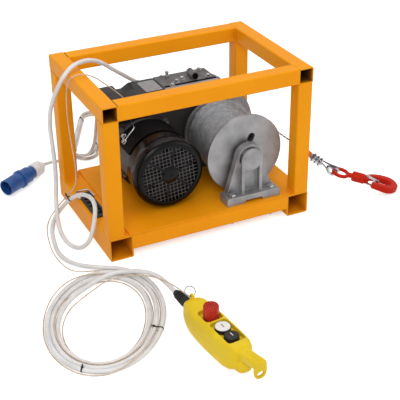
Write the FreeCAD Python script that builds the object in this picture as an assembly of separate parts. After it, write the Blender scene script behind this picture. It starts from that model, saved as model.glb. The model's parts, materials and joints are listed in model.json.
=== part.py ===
"""Electric winch in a welded square-tube frame, with its control pendant, mains lead, wire rope and hook.

Millimetres, +Z up. The origin is the centre of the frame's footprint on the floor. X runs along the long side
to the rope side, Y runs from the front rail to the rear rail.
"""
import FreeCAD, Part
import math
import os

V = FreeCAD.Vector
Z_UP = V(0, 0, 1)
Y_BACK = V(0, 1, 0)

# Clearances: a turning fit, a fixed seat, a bolt in its hole, and a cord beside a moving piece
running_gap = 0.05
seat_gap = 0.05
bolt_gap = 0.5
free_gap = 0.3

# Welded frame: two base tubes, lighter posts and rails, and a deck plate
frame_width = 550.0
frame_depth = 375.0
frame_height = 405.0
base_size = 60.0
rail_size = 40.0
tube_wall = 3.0
tube_corner = 4.0
deck_thick = 4.0
deck_lap = 7.0

# Spur gear train, from the motor pinion to the drum wheel
pressure_angle = 25.0
backlash = 0.35
module_1 = 2.5
pinion_1_teeth = 14
wheel_1_teeth = 54
face_1 = 14.0
module_2 = 4.0
pinion_2_teeth = 14
wheel_2_teeth = 49
face_2 = 26.0
stage_1_angle = 200.1
stage_2_angle = 173.5

# Gearbox casting, split across the shafts
case_rear_gap = 22.5
case_front_depth = 35.0
case_rear_depth = 80.0
case_wall = 8.0
case_gap = 3.0
case_head_room = 123.0
case_shoulder = 26.0
foot_height = 12.0
motor_lobe_r = 76.0
filler_r = 10.0
filler_length = 34.0

# Rope drum and its shaft
drum_rear_gap = 12.0
flange_r = 104.0
flange_thick = 8.0
rear_flange_r = 94.0
barrel_r = 55.0
winding_r = 88.0
drum_shaft_r = 20.0
rope_d = 5.0
anchor_hole_r = 9.5
anchor_hole_at = 41.0
anchor_hole_turn = 67.0

# Bearing pedestal at the free end of the drum shaft
pedestal_width = 150.0
pedestal_foot = 22.0
pedestal_depth = 44.0
pedestal_set_in = 10.5
pedestal_gap = 9.0
pedestal_boss_r = 36.0
pedestal_cap_r = 29.0
pedestal_bolt_span = 110.0
pedestal_bolt_set_in = 13.0
pedestal_rib = 8.0

# Motor hung on the gearbox front face
motor_r = 80.0
motor_wall = 6.0
motor_length = 90.0
shield_thick = 12.0
cowl_r = 89.0
cowl_wall = 2.0
cowl_length = 65.0
grille_r = 76.0
grille_hub_r = 30.0
grille_pitch = 9.2
grille_hole = 6.2
grille_spoke = 5.0
grille_spokes = 6
motor_shaft_r = 12.5
rotor_r = 47.0
air_gap = 1.0
core_length = 62.0
fan_r = 76.0
fan_blades = 8
brake_r = 46.0
brake_length = 18.0
saddle_height = 9.0

# Bearings: outer radius and width for each shaft
counter_shaft_r = 15.0
small_bearing_r = 27.5
drum_bearing_r = 40.0
bearing_width = 14.0
boss_wall = 6.0

# Bolts
bolt_r = 5.0
small_bolt_r = 3.0

# Control box on the gearbox and the connector in the left base tube
box_width = 150.0
box_depth = 108.0
box_height = 38.0
lid_height = 24.0
box_wall = 3.0
connector_width = 33.0
connector_length = 137.0
connector_y = -3.5
connector_rim = 3.0
connector_depth = 12.0

# Cords
control_cable_d = 11.0
strain_wire_d = 3.0
mains_lead_d = 9.0
gland_length = 36.0

# Hook on the rope's end
rope_fall = 41.0
rope_length = 297.0
thimble_r = 10.0
thimble_sheet = 2.0
thimble_half_angle = 28.0
hook_yaw = -34.0
hook_pitch = 13.2
hook_eye_r = 20.0
hook_bar_r = 5.0
hook_shank_r = 7.0
hook_thick = 18.0
hook_throat_r = 15.0
hook_bowl = 20.0
latch_sheet = 2.0
latch_pin_r = 3.0

# Pendant control lying on the floor, buttons up
pendant_in = 72.0
pendant_ahead = 275.5
pendant_yaw = -83.97
pendant_width = 58.0
pendant_start = 16.0
pendant_height = 66.0
pendant_split = 36.0
pendant_wall = 6.0
pocket_floor = 54.0
button_r = 16.5
button_travel = 4.0
button_stem_r = 6.0
estop_at = 105.0
white_at = 150.0
black_at = 184.0

# Worked out from the sizes above
half_width = frame_width / 2
half_depth = frame_depth / 2
left_side = -half_width
front_side = -half_depth
deck_top = base_size + deck_thick
post_top = frame_height - rail_size
wheel_1_tip = module_1 * (wheel_1_teeth / 2 + 1)
wheel_2_tip = module_2 * (wheel_2_teeth / 2 + 1)
stage_1_centres = module_1 * (pinion_1_teeth + wheel_1_teeth) / 2
stage_2_centres = module_2 * (pinion_2_teeth + wheel_2_teeth) / 2
drum_lobe_r = wheel_2_tip + case_gap + case_wall
counter_lobe_r = wheel_1_tip + case_gap + case_wall
drum_x = half_width - rail_size - drum_lobe_r
drum_z = deck_top + drum_lobe_r
counter_x = drum_x + stage_2_centres * math.cos(math.radians(stage_2_angle))
counter_z = drum_z + stage_2_centres * math.sin(math.radians(stage_2_angle))
motor_x = counter_x + stage_1_centres * math.cos(math.radians(stage_1_angle))
motor_z = counter_z + stage_1_centres * math.sin(math.radians(stage_1_angle))
case_rear_y = half_depth - case_rear_gap
case_split_y = case_rear_y - case_rear_depth
case_front_y = case_split_y - case_front_depth
case_top = drum_z + case_head_room
pad_top = motor_z + motor_lobe_r
drum_rear_y = case_front_y - drum_rear_gap
winding_rear_y = drum_rear_y - flange_thick
pedestal_front_y = front_side + pedestal_set_in
pedestal_back_y = pedestal_front_y + pedestal_depth
drum_front_y = pedestal_back_y + pedestal_gap
winding_front_y = drum_front_y + flange_thick
motor_rear_y = case_front_y - shield_thick - motor_length
shield_rear_y = motor_rear_y - shield_thick
cowl_front_y = motor_rear_y - 6.0 - cowl_length
pendant_x = left_side + pendant_in
pendant_y = front_side - pendant_ahead


def box(x0, x1, y0, y1, z0, z1):
    return Part.makeBox(x1 - x0, y1 - y0, z1 - z0, V(x0, y0, z0))


def rod_y(radius, y0, y1, x, z):
    return Part.makeCylinder(radius, y1 - y0, V(x, y0, z), Y_BACK)


def rod(radius, start, end):
    return Part.makeCylinder(radius, (end - start).Length, start, end - start)


def polygon_face(points):
    return Part.Face(Part.makePolygon(points + points[:1]))


def extrude_y(points, y0, y1):
    return polygon_face([V(x, y0, z) for x, z in points]).extrude(V(0, y1 - y0, 0))


def circle_face_y(radius, x, y, z):
    return Part.Face(Part.Wire(Part.makeCircle(radius, V(x, y, z), Y_BACK)))


def rounded_face(u0, u1, v0, v1, radius, place):
    """A rectangle with round corners, in the plane that place(u, v) gives."""
    inset = radius * (1 - math.sqrt(0.5))
    edges = [
        Part.LineSegment(place(u0 + radius, v0), place(u1 - radius, v0)),
        Part.Arc(place(u1 - radius, v0), place(u1 - inset, v0 + inset), place(u1, v0 + radius)),
        Part.LineSegment(place(u1, v0 + radius), place(u1, v1 - radius)),
        Part.Arc(place(u1, v1 - radius), place(u1 - inset, v1 - inset), place(u1 - radius, v1)),
        Part.LineSegment(place(u1 - radius, v1), place(u0 + radius, v1)),
        Part.Arc(place(u0 + radius, v1), place(u0 + inset, v1 - inset), place(u0, v1 - radius)),
        Part.LineSegment(place(u0, v1 - radius), place(u0, v0 + radius)),
        Part.Arc(place(u0, v0 + radius), place(u0 + inset, v0 + inset), place(u0 + radius, v0)),
    ]
    return Part.Face(Part.Wire([edge.toShape() for edge in edges]))


def square_tube(size, u, v, length, place, along):
    """Square tube whose section has its low corner at (u, v) in the plane that place gives."""
    outer = rounded_face(u, u + size, v, v + size, tube_corner, place)
    bore_corner = tube_corner - tube_wall if tube_corner > tube_wall else tube_corner / 4
    bore = rounded_face(u + tube_wall, u + size - tube_wall, v + tube_wall, v + size - tube_wall,
                        bore_corner, place)
    return outer.cut(bore).extrude(along * length)


def hex_bar(radius, start, direction, length):
    """Hexagon prism, radius to its corners."""
    spin = FreeCAD.Rotation(Z_UP, direction)
    corners = [start + spin.multVec(V(radius * math.cos(math.radians(60 * i)),
                                      radius * math.sin(math.radians(60 * i)), 0)) for i in range(6)]
    return polygon_face(corners).extrude(direction * length)


def hex_bolt(radius, seat, direction, shank):
    """Bolt whose head sits on the point seat and whose shank runs against direction."""
    head = hex_bar(1.85 * radius, seat, direction, 1.3 * radius)
    return head.fuse(Part.makeCylinder(radius, shank, seat, direction * -1))


def ring_y(outer, inner, y0, y1, x, z):
    return rod_y(outer, y0, y1, x, z).cut(rod_y(inner, y0, y1, x, z))


def bearing(shaft_r, outer_r, y0, x, z):
    """Ball bearing as one closed ring with a shallow shield groove on each side."""
    ring = ring_y(outer_r - seat_gap, shaft_r + running_gap, y0, y0 + bearing_width, x, z)
    middle = (shaft_r + outer_r) / 2
    reach = (outer_r - shaft_r) / 4
    groove = ring_y(middle + reach, middle - reach, y0, y0 + 1, x, z)
    far_groove = groove.translated(V(0, bearing_width - 1, 0))
    return ring.cut([groove, far_groove])


def gear_outline(module, teeth, phase, x, y, z):
    """Closed outline of a spur gear, with a tooth centred on the angle phase in degrees."""
    pitch_r = module * teeth / 2
    base_r = pitch_r * math.cos(math.radians(pressure_angle))
    root_r = pitch_r - 1.25 * module
    tip_r = pitch_r + module
    involute = lambda r: math.tan(math.acos(base_r / r)) - math.acos(base_r / r)
    half_tooth = math.pi / (2 * teeth) - backlash / (4 * pitch_r)
    start_r = max(base_r * 1.0001, root_r + 0.1 * module)
    steps = [start_r, (start_r + pitch_r) / 2, pitch_r, (pitch_r + tip_r) / 2, tip_r]
    flank = [(r, half_tooth + involute(pitch_r) - involute(r)) for r in steps]
    flank = [(root_r, flank[0][1] + 0.1 / teeth)] + flank
    outline = []
    for tooth in range(teeth):
        centre = math.radians(phase) + 2 * math.pi * tooth / teeth
        tooth_points = [(r, centre - a) for r, a in flank] + [(r, centre + a) for r, a in reversed(flank)]
        outline += [V(x + r * math.cos(a), y, z + r * math.sin(a)) for r, a in tooth_points]
    return outline


def gear(module, teeth, phase, width, x, y, z):
    return polygon_face(gear_outline(module, teeth, phase, x, y, z)).extrude(V(0, width, 0))


def cord_path(points):
    """Straight runs joined by tangent arcs as large as the runs allow, and the smallest arc radius."""
    edges = []
    radii = []
    start = points[0]
    for before, corner, after in zip(points, points[1:], points[2:]):
        run_in = corner - before
        run_out = after - corner
        reach = 0.45 * min(run_in.Length, run_out.Length)
        half_turn = run_in.getAngle(run_out) / 2
        radius = reach / math.tan(half_turn)
        run_in.normalize()
        run_out.normalize()
        arc_start = corner - run_in * reach
        arc_end = corner + run_out * reach
        inward = (run_out - run_in).normalize()
        arc_middle = corner + inward * (radius / math.cos(half_turn) - radius)
        edges.append(Part.LineSegment(start, arc_start).toShape())
        edges.append(Part.Arc(arc_start, arc_middle, arc_end).toShape())
        radii.append(radius)
        start = arc_end
    edges.append(Part.LineSegment(start, points[-1]).toShape())
    return Part.Wire(edges), min(radii)


def cord(name, route, diameter):
    """Round tube along a route, with its length and tightest bend printed."""
    points = [V(*point) for point in route]
    path, tightest = cord_path(points)
    section = Part.Wire(Part.makeCircle(diameter / 2, points[0], points[1] - points[0]))
    tube = path.makePipeShell([section], True, False)
    expected = math.pi * diameter ** 2 / 4 * path.Length
    print("%s length %.0f, tightest radius %.1f, volume over section times length %.4f"
          % (name, path.Length, tightest, tube.Volume / expected))
    return tube


def frame_matrix(origin, x_axis, y_axis, z_axis):
    return FreeCAD.Placement(FreeCAD.Matrix(
        x_axis.x, y_axis.x, z_axis.x, origin.x,
        x_axis.y, y_axis.y, z_axis.y, origin.y,
        x_axis.z, y_axis.z, z_axis.z, origin.z,
        0, 0, 0, 1))


def placed(shape, placement):
    moved = shape.copy()
    moved.Placement = placement.multiply(moved.Placement)
    return moved


def save(name, *solids):
    shape = solids[0] if len(solids) == 1 else Part.makeCompound(list(solids))
    shape.exportStep("parts/%s.step" % name)


os.makedirs("parts", exist_ok=True)

# Welded frame. The base tubes run front to back, and the cross tubes are flush with their ends.
along_x = lambda x: lambda u, v: V(x, u, v)
along_y = lambda y: lambda u, v: V(u, y, v)
along_z = lambda z: lambda u, v: V(u, v, z)
base_left = square_tube(base_size, -half_width, 0, frame_depth, along_y(-half_depth), Y_BACK)
base_right = square_tube(base_size, half_width - base_size, 0, frame_depth, along_y(-half_depth), Y_BACK)
connector_x = -half_width + base_size / 2 - 6.5
connector_low = V(connector_x - connector_width / 2, connector_y - connector_length / 2, base_size)
cut_out = box(connector_low.x + connector_rim, connector_low.x + connector_width - connector_rim,
              connector_low.y + connector_rim, connector_low.y + connector_length - connector_rim,
              base_size - tube_wall - 1, base_size + 1)
save("base_tube_left", base_left.cut(cut_out))
save("base_tube_right", base_right)

inner_width = frame_width - 2 * base_size
pedestal_bolt_y = pedestal_front_y + pedestal_bolt_set_in
pedestal_bolt_xs = [drum_x - pedestal_bolt_span / 2, drum_x + pedestal_bolt_span / 2]
bolt_holes = [rod(bolt_r + bolt_gap, V(x, pedestal_bolt_y, 0), V(x, pedestal_bolt_y, deck_top + 1))
              for x in pedestal_bolt_xs]
cross_low = base_size - rail_size
cross_tubes = [square_tube(rail_size, y, cross_low, inner_width, along_x(-inner_width / 2), V(1, 0, 0))
               for y in (-half_depth, half_depth - rail_size)]
save("lower_cross_tubes", cross_tubes[0].cut(bolt_holes), cross_tubes[1])

corner_xs = (-half_width, half_width - rail_size)
corner_ys = (-half_depth, half_depth - rail_size)
posts = []
for x in corner_xs:
    for y in corner_ys:
        posts.append(square_tube(rail_size, x, y, post_top - base_size, along_z(base_size), Z_UP))
save("corner_posts", *posts)

rails = [square_tube(rail_size, x, post_top, frame_depth, along_y(-half_depth), Y_BACK) for x in corner_xs]
rail_span = frame_width - 2 * rail_size
rails += [square_tube(rail_size, y, post_top, rail_span, along_x(-rail_span / 2), V(1, 0, 0))
          for y in corner_ys]
save("top_rails", *rails)

deck_half = inner_width / 2 + deck_lap
foot_bolt_xs = [motor_x - 25, drum_x + 58]
foot_bolt_ys = [case_front_y + 14, case_rear_y - 32]
foot_bolt_spots = [(x, y) for x in foot_bolt_xs for y in foot_bolt_ys]
foot_holes = [rod(bolt_r + bolt_gap, V(x, y, base_size - 1), V(x, y, deck_top + foot_height + 1))
              for x, y in foot_bolt_spots]
deck = box(-deck_half, deck_half, -half_depth, half_depth, base_size, deck_top)
save("deck_plate", deck.cut(bolt_holes + foot_holes))

# Gearbox casting. Its outline is a lobe on each shaft, a flat head, a pad for the control box and a foot.
def case_outline(y, wall):
    """Outline of the casting at y, moved in by wall all round."""
    lobes = [circle_face_y(counter_lobe_r - wall, counter_x, y, counter_z),
             circle_face_y(motor_lobe_r - wall, motor_x, y, motor_z)]
    head = polygon_face([V(x, y, z) for x, z in (
        (counter_x + wall, counter_z), (drum_x + case_shoulder - wall, drum_z),
        (drum_x + case_shoulder - wall, case_top - wall), (counter_x + wall, case_top - wall))])
    drum_lobe = circle_face_y(drum_lobe_r - wall, drum_x, y, drum_z)
    return drum_lobe.fuse(lobes + [head])


foot_left = motor_x - 45
foot_right = drum_x + 78
pad_left = motor_x - 67
pad = box(pad_left, counter_x, case_front_y, case_rear_y, motor_z, pad_top)
foot = box(foot_left, foot_right, case_front_y, case_rear_y, deck_top, deck_top + foot_height)
web = extrude_y([(foot_left, deck_top), (foot_right - 42, deck_top), (drum_x, drum_z), (motor_x, motor_z),
                 (pad_left, motor_z), (pad_left, deck_top + 30)], case_front_y, case_rear_y)
case_body = case_outline(case_front_y, 0).extrude(V(0, case_rear_y - case_front_y, 0))
case_body = case_body.fuse([pad, foot, web]).removeSplitter()
cavity_depth = case_rear_y - case_front_y - 2 * case_wall
cavity = case_outline(case_front_y + case_wall, case_wall).extrude(V(0, cavity_depth, 0))
case_body = case_body.cut(cavity)
bosses = []
bores = [rod_y(motor_shaft_r + 6, case_front_y - 1, case_front_y + case_wall + 1, motor_x, motor_z)]
for x, z, outer in ((counter_x, counter_z, small_bearing_r), (drum_x, drum_z, drum_bearing_r)):
    bosses.append(rod_y(outer + boss_wall, case_front_y, case_front_y + bearing_width, x, z))
    bosses.append(rod_y(outer + boss_wall, case_rear_y - bearing_width - 2, case_rear_y, x, z))
    bores.append(rod_y(outer, case_rear_y - bearing_width - 3, case_rear_y - 2, x, z))
bores.append(rod_y(small_bearing_r, case_front_y + 2, case_front_y + bearing_width + 1, counter_x, counter_z))
bores.append(rod_y(drum_bearing_r, case_front_y - 1, case_front_y + bearing_width + 1, drum_x, drum_z))
filler_x = drum_x - 29
filler_y = case_rear_y - 60
filler_z = case_top + filler_r - 1
bosses.append(rod_y(filler_r, filler_y, filler_y + filler_length, filler_x, filler_z))
bores.append(rod_y(filler_r - 4, filler_y - 1, filler_y + filler_length - 6, filler_x, filler_z))
top_bolt_xs = [drum_x - 86, drum_x + 6]
top_bolt_y = case_rear_y - 7
bores += [rod(small_bolt_r + bolt_gap, V(x, top_bolt_y, case_top - 14), V(x, top_bolt_y, case_top + 1))
          for x in top_bolt_xs]
case_body = case_body.fuse(bosses).cut(bores + foot_holes)
lug_reach = motor_r + 7
lug_bolts = [V(motor_x + lug_reach * math.cos(math.radians(angle)), 0,
               motor_z + lug_reach * math.sin(math.radians(angle))) for angle in (45, 135, 225, 315)]
lug_bite = 7.0
lug_holes = [rod_y(small_bolt_r + bolt_gap, case_front_y - 1, case_front_y + lug_bite + 1, spot.x, spot.z)
             for spot in lug_bolts]
case_body = case_body.cut(lug_holes)
rim_bolts = []
for angle in (-65, -25, 15, 50):
    reach = drum_lobe_r - case_wall / 2
    turn = math.radians(angle)
    rim_bolts.append((drum_x + reach * math.cos(turn), drum_z + reach * math.sin(turn)))
for angle in (110, 150, 190, 235):
    reach = motor_lobe_r - case_wall / 2
    turn = math.radians(angle)
    rim_bolts.append((motor_x + reach * math.cos(turn), motor_z + reach * math.sin(turn)))
rim_bolts += [(drum_x - 100, case_top - case_wall / 2), (drum_x - 20, case_top - case_wall / 2)]
rim_length = case_rear_depth + 12
case_body = case_body.cut([rod_y(small_bolt_r + bolt_gap, case_rear_y - rim_length - 1, case_rear_y + 1, x, z)
                           for x, z in rim_bolts])
front_half = box(-frame_width, frame_width, case_front_y - 50, case_split_y, 0, frame_height)
rear_half = box(-frame_width, frame_width, case_split_y, case_rear_y + 50, 0, frame_height)
save("gearbox_housing", case_body.common(front_half))
save("gearbox_cover", case_body.common(rear_half))
plug_shank = rod_y(filler_r - 4 - seat_gap, filler_y, filler_y + 14, filler_x, filler_z)
plug_head = hex_bar(filler_r - 2, V(filler_x, filler_y - 5, filler_z), Y_BACK, 5)
save("oil_filler_plug", plug_head.fuse(plug_shank))

# Gear train. Each wheel has a gap on the line of centres where its pinion has a tooth.
gears_1_y = case_front_y + case_wall + 8
gears_2_y = gears_1_y + face_1 + 16
pinion_1 = gear(module_1, pinion_1_teeth, stage_1_angle + 180, face_1 + 2, motor_x, gears_1_y - 1, motor_z)
wheel_1 = gear(module_1, wheel_1_teeth, stage_1_angle + 180 / wheel_1_teeth, face_1, counter_x, gears_1_y,
               counter_z)
pinion_2 = gear(module_2, pinion_2_teeth, stage_2_angle + 180, face_2 + 4, counter_x, gears_2_y - 2,
                counter_z)
wheel_2 = gear(module_2, wheel_2_teeth, stage_2_angle + 180 / wheel_2_teeth, face_2, drum_x, gears_2_y,
               drum_z)
counter_end = case_rear_y - 2 - seat_gap
countershaft = rod_y(counter_shaft_r, case_front_y + 2 + seat_gap, counter_end, counter_x, counter_z)
save("countershaft", countershaft.fuse(pinion_2))
web_holes = [rod_y(11, gears_1_y - 1, gears_1_y + face_1 + 1,
                   counter_x + 42 * math.cos(math.radians(60 * i)),
                   counter_z + 42 * math.sin(math.radians(60 * i)))
             for i in range(6)]
wheel_1_bore = rod_y(counter_shaft_r + seat_gap, gears_1_y - 1, gears_1_y + face_1 + 1, counter_x, counter_z)
save("counter_gear", wheel_1.cut(web_holes + [wheel_1_bore]))
web_holes = [rod_y(17, gears_2_y - 1, gears_2_y + face_2 + 1,
                   drum_x + 62 * math.cos(math.radians(60 * i)), drum_z + 62 * math.sin(math.radians(60 * i)))
             for i in range(6)]
wheel_2_bore = rod_y(drum_shaft_r + seat_gap, gears_2_y - 1, gears_2_y + face_2 + 1, drum_x, drum_z)
save("drum_gear", wheel_2.cut(web_holes + [wheel_2_bore]))

# Rope drum: a barrel between two flanges, keyed to a shaft that the gearbox and the pedestal carry.
pedestal_seat_y = pedestal_back_y - bearing_width - 8
drum_shaft = rod_y(drum_shaft_r, pedestal_seat_y, counter_end, drum_x, drum_z)
save("drum_shaft", drum_shaft)
drum_body = rod_y(barrel_r, drum_front_y, drum_rear_y, drum_x, drum_z)
front_flange = rod_y(flange_r, drum_front_y, winding_front_y, drum_x, drum_z)
rear_flange = rod_y(rear_flange_r, winding_rear_y, drum_rear_y, drum_x, drum_z)
anchor_at = lambda reach: V(drum_x + reach * math.cos(math.radians(anchor_hole_turn)), drum_front_y - 1,
                            drum_z + reach * math.sin(math.radians(anchor_hole_turn)))
anchor_holes = [Part.makeCylinder(anchor_hole_r, flange_thick + 12, anchor_at(anchor_hole_at + step), Y_BACK)
                for step in (0, 6)]
drum_bore = rod_y(drum_shaft_r + seat_gap, drum_front_y - 1, drum_rear_y + 1, drum_x, drum_z)
drum_body = drum_body.fuse([front_flange, rear_flange]).cut(anchor_holes + [drum_bore])
save("drum", drum_body.removeSplitter())
winding = ring_y(winding_r, barrel_r + seat_gap, winding_front_y + seat_gap, winding_rear_y - seat_gap,
                 drum_x, drum_z)
last_turn = ring_y(winding_r + rope_d, barrel_r + seat_gap, winding_front_y + seat_gap,
                   winding_front_y + seat_gap + rope_d, drum_x, drum_z)
save("rope_winding", winding.fuse(last_turn).removeSplitter())

# Bearing pedestal: a cast A-shaped stand with two ribs, a blind boss and a notched foot.
foot_top = deck_top + pedestal_foot
half_foot = pedestal_width / 2
web_front_y = pedestal_back_y - 18
rib_front_y = web_front_y - 15
ped_foot = extrude_y([(drum_x - half_foot, deck_top), (drum_x - 28, deck_top), (drum_x - 22, deck_top + 8),
                      (drum_x + 22, deck_top + 8), (drum_x + 28, deck_top), (drum_x + half_foot, deck_top),
                      (drum_x + half_foot, foot_top), (drum_x - half_foot, foot_top)],
                     pedestal_front_y, pedestal_back_y)
ped_web = extrude_y([(drum_x - half_foot + 12, foot_top - 1), (drum_x + half_foot - 12, foot_top - 1),
                     (drum_x + pedestal_boss_r - 1, drum_z + 4), (drum_x - pedestal_boss_r + 1, drum_z + 4)],
                    web_front_y, pedestal_back_y)
ped_boss = rod_y(pedestal_boss_r, web_front_y - 4, pedestal_back_y, drum_x, drum_z)
ped_cap = rod_y(pedestal_cap_r, rib_front_y, web_front_y, drum_x, drum_z)
ped_ribs = [box(drum_x + x, drum_x + x + pedestal_rib, rib_front_y, web_front_y, foot_top - 1, drum_z)
            for x in (-pedestal_cap_r, pedestal_cap_r - pedestal_rib)]
pedestal = ped_foot.fuse([ped_web, ped_boss, ped_cap] + ped_ribs)
ped_bearing_r = pedestal_boss_r - boss_wall
shaft_room = rod_y(ped_bearing_r, pedestal_seat_y - 4, pedestal_back_y + 1, drum_x, drum_z)
bolt_wells = [rod(bolt_r + bolt_gap, V(x, pedestal_bolt_y, deck_top - 1), V(x, pedestal_bolt_y, foot_top + 1))
              for x in pedestal_bolt_xs]
pedestal = pedestal.cut([shaft_room] + bolt_wells).removeSplitter()
foot_edges = [edge for edge in pedestal.Edges
              if edge.BoundBox.XLength < 0.01 and edge.BoundBox.ZLength < 0.01
              and abs(edge.CenterOfMass.z - foot_top) < 0.01 and edge.BoundBox.YLength > pedestal_depth - 1]
save("bearing_pedestal", pedestal.makeFillet(6, foot_edges))

# Bearings of the three shafts
save("shaft_bearings",
     bearing(counter_shaft_r, small_bearing_r, case_front_y + 2, counter_x, counter_z),
     bearing(counter_shaft_r, small_bearing_r, case_rear_y - bearing_width - 2, counter_x, counter_z),
     bearing(drum_shaft_r, drum_bearing_r, case_front_y, drum_x, drum_z),
     bearing(drum_shaft_r, drum_bearing_r, case_rear_y - bearing_width - 2, drum_x, drum_z),
     bearing(drum_shaft_r, ped_bearing_r, pedestal_back_y - bearing_width - 2, drum_x, drum_z),
     bearing(motor_shaft_r, small_bearing_r, case_front_y - bearing_width - 2, motor_x, motor_z),
     bearing(motor_shaft_r, small_bearing_r, shield_rear_y + 3, motor_x, motor_z))

# Motor: a smooth cast body with an end shield at each side and a sheet cowl over the fan.
front_shield_y = case_front_y - shield_thick
shell = ring_y(motor_r, motor_r - motor_wall, motor_rear_y, front_shield_y, motor_x, motor_z)
save("motor_housing", shell)
front_shield = rod_y(motor_r + 3, front_shield_y, case_front_y, motor_x, motor_z)
front_hub = rod_y(small_bearing_r + boss_wall, front_shield_y - 6, front_shield_y, motor_x, motor_z)
lugs = [rod_y(9, front_shield_y, case_front_y, spot.x, spot.z) for spot in lug_bolts]
front_shield = front_shield.fuse([front_hub] + lugs).removeSplitter()
front_cuts = [rod_y(small_bearing_r, front_shield_y - 7, case_front_y - 2, motor_x, motor_z),
              rod_y(motor_shaft_r + 2, front_shield_y - 7, case_front_y + 1, motor_x, motor_z)]
front_cuts += [rod_y(small_bolt_r + bolt_gap, front_shield_y - 1, case_front_y + 1, spot.x, spot.z)
               for spot in lug_bolts]
rear_shield = rod_y(motor_r, shield_rear_y, motor_rear_y, motor_x, motor_z)
cowl_seat = rod_y(cowl_r - cowl_wall - 0.2, shield_rear_y, shield_rear_y + 7, motor_x, motor_z)
rear_hub = rod_y(small_bearing_r + boss_wall, motor_rear_y, shield_rear_y + 3 + bearing_width, motor_x,
                 motor_z)
rear_cuts = [rod_y(small_bearing_r, shield_rear_y + 3, shield_rear_y + 4 + bearing_width, motor_x, motor_z),
             rod_y(motor_shaft_r + 2, shield_rear_y - 1, motor_rear_y, motor_x, motor_z)]
rear_shield = rear_shield.fuse([cowl_seat, rear_hub]).removeSplitter()
save("motor_end_shields", front_shield.cut(front_cuts), rear_shield.cut(rear_cuts))

core_y = (motor_rear_y + front_shield_y - core_length) / 2
stator_bore = rotor_r + air_gap
stator = ring_y(motor_r - motor_wall - seat_gap, stator_bore, core_y, core_y + core_length, motor_x, motor_z)
end_turns = [ring_y(motor_r - motor_wall - 8, stator_bore + 6, y, y + 8, motor_x, motor_z)
             for y in (core_y - 8, core_y + core_length)]
save("stator_core", stator.fuse(end_turns).removeSplitter())
rotor_bore = motor_shaft_r + seat_gap
save("rotor_core", ring_y(rotor_r, rotor_bore, core_y, core_y + core_length, motor_x, motor_z))
fan_y = cowl_front_y + cowl_wall + 8
fan_width = 22.0
brake_y = shield_rear_y - brake_length
motor_shaft = rod_y(motor_shaft_r, fan_y + 2, gears_1_y + face_1, motor_x, motor_z)
save("motor_shaft", motor_shaft.fuse(pinion_1).removeSplitter())
fan = ring_y(20, motor_shaft_r + seat_gap, fan_y + 2, fan_y + fan_width, motor_x, motor_z)
fan_disc = ring_y(fan_r - 2, motor_shaft_r + seat_gap, fan_y + fan_width - 2, fan_y + fan_width, motor_x,
                  motor_z)
blades = []
for number in range(fan_blades):
    blade = box(motor_x + 19, motor_x + fan_r - 2, fan_y, fan_y + fan_width - 1, motor_z - 1.25,
                motor_z + 1.25)
    blades.append(blade.rotated(V(motor_x, 0, motor_z), Y_BACK, 360 / fan_blades * number))
save("cooling_fan", fan.fuse([fan_disc] + blades).removeSplitter())
save("brake_magnet", ring_y(brake_r + 4, motor_shaft_r + 2, brake_y, shield_rear_y, motor_x, motor_z))
disc_y = brake_y - 4 - air_gap
save("brake_disc", ring_y(brake_r, motor_shaft_r + seat_gap, disc_y, disc_y + 4, motor_x, motor_z))

# Fan cowl: a deep cup with a round shoulder and a square grille, solid at its hub and along its spokes.
cowl_back_y = cowl_front_y + cowl_length
cup = rod_y(cowl_r, cowl_front_y, cowl_back_y, motor_x, motor_z)
shoulder = [edge for edge in cup.Edges
            if edge.BoundBox.YLength < 0.01 and edge.CenterOfMass.y < cowl_front_y + 1]
cup = cup.makeFillet(8, shoulder)
room = rod_y(cowl_r - cowl_wall, cowl_front_y, cowl_back_y + 1, motor_x, motor_z)
room_edge = [edge for edge in room.Edges
             if edge.BoundBox.YLength < 0.01 and edge.CenterOfMass.y < cowl_front_y + 1]
room = room.makeFillet(8 - cowl_wall, room_edge).translated(V(0, cowl_wall, 0))
grille = []
count = int(grille_r // grille_pitch)
half_hole = grille_hole / 2
spoke_turn = 2 * math.pi / grille_spokes
for column in range(-count, count + 1):
    for row in range(-count, count + 1):
        reach = math.hypot(column, row) * grille_pitch
        turn = math.atan2(row, column) % spoke_turn
        spoke_gap = reach * math.sin(min(turn, spoke_turn - turn))
        if grille_hub_r < reach < grille_r - half_hole and spoke_gap > grille_spoke:
            u = motor_x + column * grille_pitch
            v = motor_z + row * grille_pitch
            grille.append(box(u - half_hole, u + half_hole, cowl_front_y - 1, cowl_front_y + cowl_wall + 1,
                              v - half_hole, v + half_hole))
save("fan_cowl", cup.cut(room).cut(Part.makeCompound(grille)))

# Capacitor and terminal saddle over the top of the motor body
saddle_y = motor_rear_y + 4
saddle_end_y = front_shield_y - 10
saddle_wedge = [(motor_x, motor_z)]
for angle in (43, 98, 153):
    saddle_wedge.append((motor_x + 2 * motor_r * math.cos(math.radians(angle)),
                         motor_z + 2 * motor_r * math.sin(math.radians(angle))))
saddle = ring_y(motor_r + saddle_height, motor_r + seat_gap, saddle_y, saddle_end_y, motor_x, motor_z)
save("capacitor_box", saddle.common(extrude_y(saddle_wedge, saddle_y, saddle_end_y)))

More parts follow.
